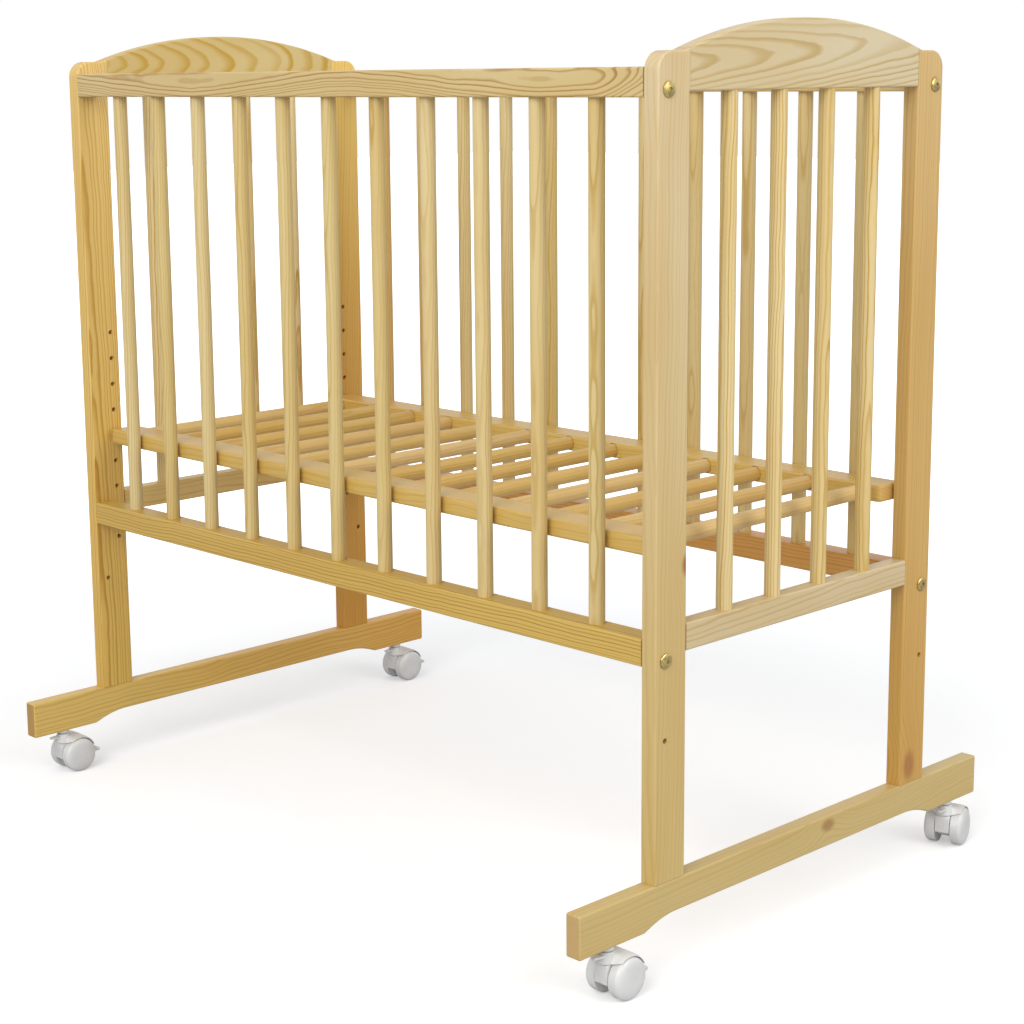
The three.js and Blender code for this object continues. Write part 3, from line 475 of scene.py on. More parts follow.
class Net:
    """Adds nodes to one tree in short calls."""

    def __init__(self, tree):
        self.tree = tree
        tree.nodes.clear()

    def add(self, kind, sockets=None, **settings):
        node = self.tree.nodes.new(kind)
        for key, value in settings.items():
            setattr(node, key, value)
        for key, value in (sockets or {}).items():
            self.plug(node.inputs[key], value)
        return node

    def plug(self, socket, value):
        if isinstance(value, bpy.types.NodeSocket):
            self.tree.links.new(value, socket)
        else:
            socket.default_value = value

    def math(self, operation, *values):
        return self.add("ShaderNodeMath", dict(enumerate(values)), operation=operation).outputs[0]

    def times(self, a, b):
        return self.math("MULTIPLY", a, b)

    def plus(self, a, b):
        return self.math("ADD", a, b)

    def minus(self, a, b):
        return self.math("SUBTRACT", a, b)

    def scaled(self, value, factor, offset):
        """The value times a factor, plus an offset."""
        return self.math("MULTIPLY_ADD", value, factor, offset)

    def length(self, a, b):
        """The length of a line that runs a to one side and b to the other."""
        return self.math("SQRT", self.plus(self.times(a, a), self.times(b, b)))

    def mix(self, share, a, b, blend="MIX"):
        node = self.add("ShaderNodeMix", data_type="RGBA", blend_type=blend)
        for index, value in ((0, share), (6, a), (7, b)):
            self.plug(node.inputs[index], value)
        return node.outputs[2]

    def ramp(self, value, low, high):
        """From 0 where the value is low to 1 where it is high, in a straight line."""
        return self.add("ShaderNodeMapRange", {0: value, 1: low, 2: high}).outputs[0]

    def step(self, value, low, high, start=0.0, end=1.0):
        """From start where the value is low to end where it is high, in a soft curve."""
        sockets = {0: value, 1: low, 2: high, 3: start, 4: end}
        return self.add("ShaderNodeMapRange", sockets, interpolation_type="SMOOTHSTEP").outputs[0]

    def vector(self, x, y, z):
        return self.add("ShaderNodeCombineXYZ", {0: x, 1: y, 2: z}).outputs[0]

    def parts(self, vector):
        return self.add("ShaderNodeSeparateXYZ", {0: vector}).outputs

    def noise(self, vector, scale, detail=2.0):
        return self.add("ShaderNodeTexNoise", {"Vector": vector, "Scale": scale, "Detail": detail})

    def spread(self, vector, scale, detail=2.0):
        """Noise about zero, from about -0.5 to 0.5."""
        return self.minus(self.noise(vector, scale, detail).outputs[0], 0.5)


# Pine: the pale early wood, the heart of a knot, dark fibres and end grain
EARLY = colour(225, 203, 158)
EARLY_DEEP = colour(219, 191, 137)
KNOT_HEART = colour(158, 88, 34)
DARK_FIBRE = colour(188, 150, 88)
END_GRAIN = colour(206, 168, 138)

# Late wood: a mid gold, a clear gold and a brown
RIPE = colour(190, 150, 66)
GOLD_RIPE = colour(204, 165, 62)
BROWN_RIPE = colour(180, 134, 62)

# Painted shade: the wood is made a deeper gold towards the feet than at the top rails, and browner low at
# the back of the left end, where shade falls. Bars get only a faint painted shade
LOW_PAINTED_SHADE = (0.92, 0.86, 0.56)
FAR_PAINTED_SHADE = (0.95, 0.74, 0.5)
BAR_LOW_PAINTED_SHADE = (0.98, 0.96, 0.9)
PLAIN = (1, 1, 1)
PAINTED_SHADE_TOP = 850
PAINTED_SHADE_FOOT = 120
PAINTED_SHADE_FRONT = -150
PAINTED_SHADE_BACK = 300
PAINTED_SHADE_LEFT = -440

# Growth rings: noise scales are per millimetre, and sizes are millimetres
DRIFT_SCALE = 0.0045
WOBBLES = ((0.03, 2.6), (0.1, 1.1))
WOBBLE_STRETCH = 0.35
RING_VARIATION = 1.7
RING_VARIATION_SCALE = 0.37
FAINTEST_RING = 0.3
LATE_FULL = 0.84
LATE_FALL = (0.86, 0.98)
LATE_HEIGHT = 0.5

# Fibres: noise scales across and along, the noise that darkens them, and what they do to the surface
FIBRE_SCALE = (1.6, 0.03)
FIBRE_EDGES = (0.12, 0.3)
FIBRE_SHARE = 0.22
FIBRE_VALUE = 0.07
FIBRE_ROUGHNESS = 0.25
FIBRE_HEIGHT = 0.6
WOOD_ROUGHNESS = 0.46

# Broad blotches, end grain, and a bar's own shade, which is more saturated where it is darker
BLOTCH_SCALE = 0.012
BLOTCH_STRETCH = 0.25
BLOTCH_EDGES = (0.3, 0.7)
END_FACING = (0.8, 0.97)
END_GRAIN_SHARE = 0.5
END_ROUGHNESS = 0.2
SHADE_SATURATION = -1.5

# Rings swell round a knot, up to a limit, and a knot is longer than wide. Its size is never quite nothing
KNOT_STRETCH = 0.6
KNOT_REACH = 5.0
KNOT_LIMIT = 12.0
KNOT_LEAST = 0.001
KNOT_SWELL = (0.5, 1.2)
KNOT_EDGES = (0.5, 1.5)

GRAIN_INPUTS = {
    "Across 1": "Float",
    "Across 2": "Float",
    "Along": "Float",
    "End": "Float",
    "Seed": "Float",
    "Spacing": "Float",
    "Wander": "Float",
    "Contrast": "Float",
    "Late": "Float",
    "Lean 1": "Float",
    "Lean 2": "Float",
    "Knot": "Vector",
    "Knot size": "Float",
    "Knot depth": "Float",
    "Ripe": "Color",
    "Tone": "Color",
}
GRAIN_OUTPUTS = {"Color": "Color", "Roughness": "Float", "Height": "Float"}


def pith_distance(net, given):
    """How far a point is from the pith, which leans and wanders along the piece."""
    a, b, along, seed = given["Across 1"], given["Across 2"], given["Along"], given["Seed"]
    course = net.vector(seed, 0.7, net.times(along, DRIFT_SCALE))
    drift = net.parts(net.noise(course, 1.0, 3.0).outputs[1])
    offsets = []
    for start, lean, way in ((a, given["Lean 1"], drift[0]), (b, given["Lean 2"], drift[1])):
        straight = net.minus(start, net.times(lean, along))
        offsets.append(net.plus(straight, net.times(net.minus(way, 0.5), given["Wander"])))
    radius = net.length(*offsets)
    place = net.vector(net.plus(a, seed), b, net.times(along, WOBBLE_STRETCH))
    for scale, size in WOBBLES:
        radius = net.scaled(net.spread(place, scale), size, radius)
    return radius


def late_wood(net, given, radius):
    """The share of late wood: it rises slowly through each ring and ends sharply, and rings differ."""
    turns = net.math("DIVIDE", radius, given["Spacing"])
    uneven = net.noise(net.vector(turns, given["Seed"], 0.0), RING_VARIATION_SCALE, 1.0).outputs[0]
    turns = net.plus(turns, net.times(uneven, RING_VARIATION))
    phase = net.math("FRACT", turns)
    number = {"W": net.math("FLOOR", turns)}
    ring = net.add("ShaderNodeTexWhiteNoise", number, noise_dimensions="1D").outputs[0]
    rise = net.step(phase, net.minus(LATE_FULL, given["Late"]), LATE_FULL)
    late = net.times(rise, net.step(phase, *LATE_FALL, 1.0, 0.0))
    late = net.times(late, net.scaled(ring, 1 - FAINTEST_RING, FAINTEST_RING))
    return net.times(late, given["Contrast"])


def grain_group():
    """Pine in three dimensions: growth rings round a leaning pith, fibres, blotches, and a knot."""
    tree = bpy.data.node_groups.new("pine_grain", "ShaderNodeTree")
    for way, sockets in (("INPUT", GRAIN_INPUTS), ("OUTPUT", GRAIN_OUTPUTS)):
        for name, kind in sockets.items():
            tree.interface.new_socket(name, in_out=way, socket_type=f"NodeSocket{kind}")
    net = Net(tree)
    given = net.add("NodeGroupInput").outputs
    shade = net.add("ShaderNodeAttribute", attribute_name="shade").outputs["Fac"]
    a, b, along = given["Across 1"], given["Across 2"], given["Along"]
    radius = pith_distance(net, given)

    # Rings bend round a knot that runs across the piece
    knot = net.parts(given["Knot"])
    side = net.minus(b, knot[1])
    reach = net.times(net.minus(along, knot[2]), KNOT_STRETCH)
    share = net.math("DIVIDE", net.length(side, reach), net.plus(given["Knot size"], KNOT_LEAST))
    size = net.math("MINIMUM", given["Knot size"], KNOT_LIMIT)
    swell = net.times(net.step(share, 0.0, KNOT_REACH, 1.0, 0.0), size)
    radius = net.scaled(swell, net.scaled(given["Knot depth"], *KNOT_SWELL), radius)
    late = late_wood(net, given, radius)

    # Fibres are fine and long, and blotches broad
    across, lengthwise = FIBRE_SCALE
    fine = net.vector(net.times(a, across), net.times(b, across), net.times(along, lengthwise))
    fibre = net.spread(fine, 1.0, 3.0)
    broad = net.vector(net.plus(a, given["Seed"]), b, net.times(along, BLOTCH_STRETCH))
    blotch = net.noise(broad, BLOTCH_SCALE).outputs[0]

    wood = net.mix(net.step(blotch, *BLOTCH_EDGES), EARLY, EARLY_DEEP)
    wood = net.mix(late, wood, given["Ripe"])
    heart = net.times(net.step(share, *KNOT_EDGES, 1.0, 0.0), given["Knot depth"])
    wood = net.mix(heart, wood, KNOT_HEART)
    wood = net.mix(net.step(fibre, *FIBRE_EDGES, 0.0, FIBRE_SHARE), wood, DARK_FIBRE)
    wood = net.mix(net.times(given["End"], END_GRAIN_SHARE), wood, END_GRAIN)
    # The tone holds the piece's own colour and also painted shade, deeper low down and at the left back
    wood = net.mix(1.0, wood, given["Tone"], "MULTIPLY")
    rough = net.scaled(fibre, FIBRE_ROUGHNESS, WOOD_ROUGHNESS)
    changes = {
        "Saturation": net.scaled(shade, SHADE_SATURATION, 1.0),
        "Value": net.scaled(fibre, FIBRE_VALUE, net.plus(1.0, shade)),
        "Color": wood,
    }
    finish = {
        "Color": net.add("ShaderNodeHueSaturation", changes).outputs[0],
        "Roughness": net.plus(rough, net.times(given["End"], END_ROUGHNESS)),
        "Height": net.scaled(late, LATE_HEIGHT, net.times(fibre, FIBRE_HEIGHT)),
    }
    net.add("NodeGroupOutput", finish)
    return tree


GRAIN = grain_group()


def times(tone, other):
    return tuple(t * o for t, o in zip(tone, other))


def tone_with_painted_shade(net, parts, tone, low_painted_shade):
    """The tone of a piece with painted shade: deeper towards the feet, and browner low down towards the back
    of the left end.
    """
    deep = times(tone, low_painted_shade)
    low = net.ramp(parts[2], PAINTED_SHADE_TOP, PAINTED_SHADE_FOOT)
    back = net.ramp(parts[1], PAINTED_SHADE_FRONT, PAINTED_SHADE_BACK)
    left = net.ramp(parts[0], 0, PAINTED_SHADE_LEFT)
    shade = net.mix(low, (*tone, 1), (*deep, 1))
    return net.mix(net.times(net.times(back, left), low), shade, (*times(deep, FAR_PAINTED_SHADE), 1))


def pine(
    name, along, pith, lean, spacing, wander, contrast, tone, seed,
    knot=(0, 0, 0, 0), wave=(0, 600, 0), late=0.34, ripe=RIPE, low_painted_shade=LOW_PAINTED_SHADE, end_tone=PLAIN,
):
    """Lacquered pine whose grain runs along one axis.

    The pith is a place across the grain, in millimetres. A knot is a place across, one along, a size and
    a depth. A wave in the grain has a height, a length and the place of a crest.
    """
    material = bpy.data.materials.new(name)
    material.use_nodes = True
    net = Net(material.node_tree)
    where = net.add("ShaderNodeTexCoord").outputs
    size = {0: where["Object"], "Scale": 1 / MM}
    scaled = net.add("ShaderNodeVectorMath", size, operation="SCALE").outputs[0]
    shift = net.add("ShaderNodeAttribute", attribute_name="grain").outputs["Vector"]
    parts = net.parts(net.add("ShaderNodeVectorMath", {0: scaled, 1: shift}, operation="ADD").outputs[0])
    first, second, third = {"X": (1, 2, 0), "Y": (0, 2, 1), "Z": (0, 1, 2)}[along]
    end = net.step(net.math("ABSOLUTE", net.parts(where["Normal"])[third]), *END_FACING)
    height, length, crest = wave
    turns = net.times(net.minus(parts[third], crest), 2 * math.pi / length)
    swing = net.scaled(net.math("COSINE", turns), -height, parts[second])
    sockets = {
        "Across 1": net.minus(parts[first], pith[0]),
        "Across 2": net.minus(swing, pith[1]),
        "Along": parts[third],
        "End": end,
        "Seed": seed,
        "Spacing": spacing,
        "Wander": wander,
        "Contrast": contrast,
        "Late": late,
        "Lean 1": lean[0],
        "Lean 2": lean[1],
        "Knot": (0, knot[0] - pith[1], knot[1]),
        "Knot size": knot[2],
        "Knot depth": knot[3],
        "Ripe": ripe,
        # The tone carries painted shade towards the feet and at the back of the left end
        "Tone": net.mix(end, tone_with_painted_shade(net, parts, tone, low_painted_shade), (*end_tone, 1), "MULTIPLY"),
    }
    grain = net.add("ShaderNodeGroup", node_tree=GRAIN)
    for key, value in sockets.items():
        net.plug(grain.inputs[key], value)
    relief = {"Strength": 0.12, "Distance": 0.0003, "Height": grain.outputs["Height"]}
    surface = {
        "Base Color": grain.outputs["Color"],
        "Roughness": grain.outputs["Roughness"],
        "Normal": net.add("ShaderNodeBump", relief).outputs[0],
        "Coat Weight": 0.22,
        "Coat Roughness": 0.28,
    }
    shader = net.add("ShaderNodeBsdfPrincipled", surface)
    net.add("ShaderNodeOutputMaterial", {0: shader.outputs[0]})
    return material


def hard(name, base, worn, metallic, roughness, scale, coat=0.0):
    """Metal or plastic with a slightly uneven colour, gloss and surface."""
    material = bpy.data.materials.new(name)
    material.use_nodes = True
    net = Net(material.node_tree)
    where = net.add("ShaderNodeTexCoord").outputs["Object"]
    cloud = net.noise(where, scale, 3.0).outputs[0]
    grit = net.noise(where, scale * 12).outputs[0]
    relief = {"Strength": 0.08, "Distance": 0.0002, "Height": grit}
    surface = {
        "Base Color": net.mix(net.step(cloud, 0.35, 0.75), base, worn),
        "Metallic": metallic,
        "Roughness": net.plus(roughness, net.times(net.minus(cloud, 0.5), 0.25)),
        "Normal": net.add("ShaderNodeBump", relief).outputs[0],
        "Coat Weight": coat,
        "Coat Roughness": 0.2,
    }
    shader = net.add("ShaderNodeBsdfPrincipled", surface)
    net.add("ShaderNodeOutputMaterial", {0: shader.outputs[0]})
    return material


BRASS = hard("brass", colour(208, 190, 132), colour(166, 144, 82), metallic=1.0, roughness=0.3, scale=260)
STEEL = hard("steel", colour(196, 198, 200), colour(160, 160, 158), metallic=1.0, roughness=0.34, scale=300)
PLASTIC = hard(
    "white_plastic", colour(218, 218, 217), colour(207, 206, 203),
    metallic=0.0, roughness=0.36, scale=45, coat=0.2,
)


# Finished pieces

SHARP_ANGLE = 32

# A bar or dowel lies up to this far off in the grain, and is a little darker or paler than the others
CHANCE = random.Random(7)
BAR_STRAY = (60, 40, 900)
BAR_SHADES = (-0.05, 0.02)
DOWEL_STRAY = (50, 500, 50)
DOWEL_SHADES = (-0.06, 0.03)


def finished(name, solid, materials, body, nodes):
    moved(solid, Matrix.Scale(MM, 4))
    mesh = bpy.data.meshes.new(name)
    solid.to_mesh(mesh)
    solid.free()
    mesh.shade_smooth()
    mesh.set_sharp_from_angle(angle=math.radians(SHARP_ANGLE))
    for material in materials:
        mesh.materials.append(material)
    obj = bpy.data.objects.new(name, mesh)
    bpy.context.scene.collection.objects.link(obj)
    weighted = obj.modifiers.new("weighted", "WEIGHTED_NORMAL")
    weighted.keep_sharp = True
    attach(obj, body)
    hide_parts(*nodes)


def marked(solid, stray, shades):
    """Gives one bar or dowel its own place in the grain and its own shade."""
    shift = tuple(CHANCE.uniform(-most, most) for most in stray)
    tone = CHANCE.uniform(*shades)
    grain = solid.verts.layers.float_vector.new("grain")
    shade = solid.verts.layers.float.new("shade")
    for vert in solid.verts:
        vert[grain] = shift
        vert[shade] = tone
    return solid


def spaced(count, pitch):
    return [(i - (count - 1) / 2) * pitch for i in range(count)]


def post_solid():
    solid = board(post_outline(), STOCK, EDGE)
    sliced(solid, (0, 0, FOOT_TOP + SEAM / 2), (0, 0, -1))
    arm = box((-STOCK, 0, ARCH_UNDERSIDE - EDGE), (STOCK, JOINT_Y, POST_TOP + ARCH_RISE))
    ends = (-FACE - PAST_FACE, PEG_HOLE_DEPTH - FACE)
    heights = [PEG_TOP_Z - i * PEG_PITCH for i in range(PEG_HOLES)]
    holes = [pin(PEG_HOLE_RADIUS, *ends, HOLE_SIDES, "X", (0, PEG_Y, z)) for z in heights]
    low_hole = pin(PEG_HOLE_RADIUS, -STOCK, STOCK, HOLE_SIDES, "X", (0, RAIL_Y, LOW_HOLE_Z))
    return cut(solid, [arm, low_hole, *holes])


def arch_solid():
    solid = board(arch_outline(), STOCK, EDGE)
    sliced(solid, (0, JOINT_Y - SEAM, 0), (0, 1, 0))
    return sliced(solid, (0, SEAM - JOINT_Y, 0), (0, -1, 0))


def end_low_solid():
    section = rounded_rectangle(-FACE, FACE, END_LOW_BASE, END_LOW_BASE + RAIL, EDGE, EDGE_STEPS)
    ends = (SEAM - JOINT_Y, JOINT_Y - SEAM)
    return loops_to_solid([[Vector((p.x, y, p.y)) for p in section] for y in ends])


def side_rail_solid(base):
    half = RAIL / 2
    section = rounded_rectangle(RAIL_Y - half, RAIL_Y + half, base, base + RAIL, EDGE, EDGE_STEPS)
    ends = (SEAM - INNER_X, INNER_X - SEAM)
    rail = loops_to_solid([[Vector((x, *p)) for p in section] for x in ends])
    depths = (base - PAST_FACE, base + NUT_HOLE_DEPTH)
    radius = NUT_RADIUS + NUT_CLEARANCE
    holes = [pin(radius, *depths, BAR_SIDES, "Z", (x, RAIL_Y, 0)) for x in (NUT_X, -NUT_X)]
    return cut(rail, holes)


def bar(x, y, low, high):
    """One round bar with softly broken ends."""
    narrow = BAR_RADIUS - BAR_BREAK
    profile = [(narrow, low), (BAR_RADIUS, low + BAR_BREAK), (BAR_RADIUS, high - BAR_BREAK), (narrow, high)]
    solid = moved(turned(profile, BAR_SIDES), Matrix.Translation((x, y, 0)))
    return marked(solid, BAR_STRAY, BAR_SHADES)


POST_SOLID = post_solid()
ARCH_SOLID = arch_solid()
FOOT_SOLID = board(foot_outline(), STOCK, EDGE)

# End frames: each piece has its own pith, so that no two show the same figure
ENDS = {
    "right": Matrix.Translation((FRAME_X, 0, 0)),
    "left": Matrix.Translation((-FRAME_X, 0, 0)) @ TURN,
}
POST_WOOD = {
    "front_right": pine(
        "pine_post_front_right", "Z", pith=(520, -330), lean=(0.01, 0.03), spacing=4.2, wander=14,
        contrast=0.42, tone=(0.87, 0.87, 0.90), knot=(-175, 400, 6, 0.85), seed=3,
    ),
    "back_right": pine(
        "pine_post_back_right", "Z", pith=(540, 262), lean=(0.004, 0.02), spacing=3.6, wander=14,
        # A stronger painted shade towards the foot
        contrast=0.6, tone=(0.84, 0.74, 0.53), low_painted_shade=(0.93, 0.78, 0.42),
        knot=(191, 116, 9, 0.55), seed=11,
    ),
    "front_left": pine(
        "pine_post_front_left", "Z", pith=(-436, -214), lean=(0.012, -0.008), spacing=3.2, wander=10,
        contrast=1.1, tone=(1.03, 0.92, 0.55), knot=(-160, 885, 12, 0), late=0.42, seed=19,
    ),
    "back_left": pine(
        "pine_post_back_left", "Z", pith=(-520, 90), lean=(0, 0.05), spacing=3.8, wander=18,
        # A stronger painted shade towards the foot
        contrast=0.6, tone=(1.07, 0.94, 0.42), low_painted_shade=(0.76, 0.64, 0.37), seed=27,
    ),
}
ARCH_WOOD = {
    "right": pine(
        "pine_arch_right", "Y", pith=(503.5, 869.5), lean=(0.044, 0.063), spacing=3.4, wander=3,
        contrast=0.9, tone=(0.84, 0.89, 0.99), late=0.42, seed=5,
    ),
    "left": pine(
        "pine_arch_left", "Y", pith=(-404, 867.5), lean=(0.16, 0), spacing=5.0, wander=6,
        contrast=1.3, tone=(0.85, 0.83, 0.62), late=0.5, ripe=GOLD_RIPE, seed=17,
    ),
}
END_RAIL_WOOD = {
    "right": pine(
        "pine_end_rail_right", "Y", pith=(560, 380), lean=(0.01, 0.02), spacing=3.2, wander=10,
        contrast=0.7, tone=(0.87, 0.92, 1.25), seed=41,
    ),
    "left": pine(
        "pine_end_rail_left", "Y", pith=(-400, 300), lean=(0.02, 0.03), spacing=3.4, wander=14,
        contrast=0.65, tone=(0.96, 0.92, 0.8), seed=43,
    ),
}
FOOT_WOOD = {
    "right": pine(
        "pine_foot_right", "Y", pith=(540, 150), lean=(0.01, 0.03), spacing=3.6, wander=16,
        contrast=0.35, tone=(0.83, 0.83, 0.86), knot=(86, 50, 6, 0.6), seed=51,
    ),
    "left": pine(
        "pine_foot_left", "Y", pith=(-380, 130), lean=(0.01, 0.02), spacing=3.0, wander=14,
        contrast=0.85, tone=(1.03, 0.96, 0.69), end_tone=(0.70, 0.66, 0.69), seed=57,
    ),
}
END_BAR_WOOD = pine(
    "pine_end_bars", "Z", pith=(700, 60), lean=(0.01, 0.01), spacing=3.0, wander=10,
    contrast=1.2, tone=(0.98, 1.0, 0.95), low_painted_shade=BAR_LOW_PAINTED_SHADE, seed=61,
)
for end, place in ENDS.items():
    arch = copied(ARCH_SOLID, place)
    finished(f"pine_arch_{end}", arch, [ARCH_WOOD[end]], "root", [f"arch_rail_{end}"])
    foot = copied(FOOT_SOLID, place)
    finished(f"pine_foot_{end}", foot, [FOOT_WOOD[end]], "root", [f"foot_{end}"])
    low, high = END_LOW_BASE + RAIL - BAR_SEAT, ARCH_UNDERSIDE + BAR_SEAT
    bars = [(bar(0, y, low, high), 1) for y in spaced(END_BARS, END_BAR_PITCH)]
    rail = moved(merged([end_low_solid(), *bars]), place)
    woods = [END_RAIL_WOOD[end], END_BAR_WOOD]
    finished(f"pine_low_rail_{end}", rail, woods, "root", [f"low_rail_and_bars_{end}"])
    for side in ("front", "back"):
        corner = f"{side}_{end}"
        on_plus_y = (side == "back") == (end == "right")
        post = copied(POST_SOLID, place @ (STILL if on_plus_y else MIRROR_Y))
        finished(f"pine_post_{corner}", post, [POST_WOOD[corner]], "root", [f"post_{corner}"])

# Long sides
TOP_RAIL_WOOD = {
    "front": pine(
        "pine_top_rail_front", "X", pith=(-206, 853.5), lean=(0, 0), spacing=2.8, wander=8,
        contrast=1.2, tone=(0.83, 0.82, 0.69), knot=(850, 487, 12, 0.4), wave=(8.5, 580, 53),
        late=0.4, ripe=BROWN_RIPE, seed=98,
    ),
    "back": pine(
        "pine_top_rail_back", "X", pith=(232, 800), lean=(0.004, 0.01), spacing=3.4, wander=12,
        contrast=0.7, tone=(0.99, 0.97, 0.9), seed=73,
    ),
}
LOW_RAIL_WOOD = {
    "front": pine(
        "pine_low_rail_front", "X", pith=(-240, 280), lean=(0.004, 0.008), spacing=3.0, wander=12,
        contrast=1.0, tone=(0.85, 0.76, 0.38), late=0.4, ripe=BROWN_RIPE, seed=77,
    ),
    "back": pine(
        "pine_low_rail_back", "X", pith=(160, 288), lean=(0.004, 0.01), spacing=3.2, wander=10,
        contrast=0.75, tone=(0.88, 0.58, 0.27), seed=79,
    ),
}
SIDE_BAR_WOOD = pine(
    "pine_side_bars", "Z", pith=(60, 700), lean=(0.008, 0.012), spacing=3.2, wander=14,
    contrast=0.75, tone=(0.90, 0.90, 0.76), low_painted_shade=BAR_LOW_PAINTED_SHADE, seed=83,
)
for side, place in (("back", STILL), ("front", TURN)):
    top = moved(side_rail_solid(TOP_RAIL_BASE), place)
    finished(f"pine_top_rail_{side}", top, [TOP_RAIL_WOOD[side]], "root", [f"top_rail_{side}"])
    low, high = SIDE_LOW_BASE + RAIL - BAR_SEAT, TOP_RAIL_BASE + BAR_SEAT
    bars = [(bar(x, RAIL_Y, low, high), 1) for x in spaced(SIDE_BARS, SIDE_BAR_PITCH)]
    rail = moved(merged([side_rail_solid(SIDE_LOW_BASE), *bars]), place)
    woods = [LOW_RAIL_WOOD[side], SIDE_BAR_WOOD]
    finished(f"pine_low_rail_{side}", rail, woods, "root", [f"low_rail_and_bars_{side}"])


# Mattress base


def base_board(sign):
    """The board at the back for 1 or the front for -1, with its peg notches and the rims of its dowels."""
    y = sign * BASE_Y
    half = BASE_WIDTH / 2
    plan = rounded_rectangle(-BASE_HALF, BASE_HALF, y - half, y + half, BASE_CORNER, steps=8)
    solid = board(plan, STOCK, BASE_EDGE)
    lying = Matrix(((0, 1, 0, 0), (0, 0, 1, 0), (1, 0, 0, BASE_Z), (0, 0, 0, 1)))
    moved(solid, lying)
    notches = []
    for end in (1, -1):
        low, high = sorted((end * (BASE_HALF - NOTCH_LENGTH), end * (BASE_HALF + PAST_FACE)))
        corner = (low, sign * PEG_Y - NOTCH_HALF, BASE_Z - STOCK)
        notches.append(box(corner, (high, sign * PEG_Y + NOTCH_HALF, BASE_Z + NOTCH_HALF)))
    low, high = sorted(sign * (BASE_Y - half + depth) for depth in (-PAST_FACE, DOWEL_SEAT - DOWEL_BITE))
    radius = BASE_DOWEL_RADIUS + DOWEL_RIM
    places = [(x, 0, BASE_Z) for x in spaced(BASE_DOWELS, BASE_DOWEL_PITCH)]
    rims = [pin(radius, low, high, BASE_DOWEL_SIDES, "Y", place) for place in places]
    return cut(solid, notches + rims)


def base_dowel(x):
    end = BASE_Y - BASE_WIDTH / 2 + DOWEL_SEAT
    solid = turned([(BASE_DOWEL_RADIUS, -end), (BASE_DOWEL_RADIUS, end)], BASE_DOWEL_SIDES)
    moved(solid, Matrix.Translation((x, 0, BASE_Z)) @ ALONG_Y)
    return marked(solid, DOWEL_STRAY, DOWEL_SHADES)


BASE_FRONT_WOOD = pine(
    "pine_base_front", "X", pith=(-60, 560), lean=(0.01, 0.01), spacing=4.0, wander=20,
    contrast=0.5, tone=(0.86, 0.75, 0.43), seed=91,
)
BASE_BACK_WOOD = pine(
    "pine_base_back", "X", pith=(260, 600), lean=(0.01, 0.02), spacing=4.0, wander=20,
    contrast=0.6, tone=(0.96, 0.86, 0.50), seed=93,
)
BASE_DOWEL_WOOD = pine(
    "pine_base_dowels", "Y", pith=(60, 800), lean=(0.01, 0.01), spacing=4.0, wander=12,
    contrast=0.5, tone=(0.97, 0.88, 0.7), seed=97,
)
dowels = [(base_dowel(x), 1) for x in spaced(BASE_DOWELS, BASE_DOWEL_PITCH)]
front = merged([base_board(-1), *dowels])
woods = [BASE_FRONT_WOOD, BASE_DOWEL_WOOD]
finished("pine_base_front", front, woods, "root", ["base_board_and_dowels_front"])
finished("pine_base_back", base_board(1), [BASE_BACK_WOOD], "root", ["base_board_back"])


# Hardware

HARDWARE_SIDES = 48
PEG_SIDES = 24


def recessed(profile, sides, shape, depth):
    """A turned solid with a recess in its top, whose half-width in each direction is shape(angle)."""
    loops = [circle(radius, height, sides) for radius, height in profile]
    top = profile[-1][1]
    mouth = [(shape(t) * math.cos(t), shape(t) * math.sin(t)) for t in around(sides)]
    loops += [[Vector((*p, height)) for p in mouth] for height in (top, top - depth)]
    return loops_to_solid(loops)


def hexagon(angle):
    sector = angle % (math.pi / 3) - math.pi / 6
    return SOCKET_HALF / math.cos(sector)


def screw_slot(angle):
    never_zero = 1e-6
    across = NUT_SLOT_HALF_WIDTH / max(abs(math.sin(angle)), never_zero)
    return min(across, NUT_SLOT_HALF_LENGTH / max(abs(math.cos(angle)), never_zero))


def bolt_solid():
    radius = BOLT_HEAD_RADIUS
    flange = [(BOLT_NECK, 0), (radius - BOLT_BEVEL, 0), (radius, BOLT_BEVEL_HEIGHT)]
    turns = [math.radians(t) for t in range(0, 70, 6)]
    dome = [(radius * math.cos(t) ** DOME_SQUARENESS, BOLT_RIM + BOLT_DOME * math.sin(t)) for t in turns]
    profile = [*flange, *dome, (SOCKET_MOUTH, BOLT_RIM + BOLT_DOME)]
    return recessed(profile, HARDWARE_SIDES, hexagon, SOCKET_DEPTH)


def nut_solid():
    profile = [(NUT_RADIUS, -NUT_LENGTH), (NUT_RADIUS, -TURNED_BREAK), (NUT_RADIUS - TURNED_BREAK, 0)]
    return recessed(profile, HARDWARE_SIDES, screw_slot, NUT_SLOT_DEPTH)


def peg_solid():
    narrow = PEG_RADIUS - TURNED_BREAK
    buried = [(narrow, -PEG_BURIED), (PEG_RADIUS, TURNED_BREAK - PEG_BURIED)]
    return turned(buried + [(PEG_RADIUS, PEG_SHOWN - TURNED_BREAK), (narrow, PEG_SHOWN)], PEG_SIDES)


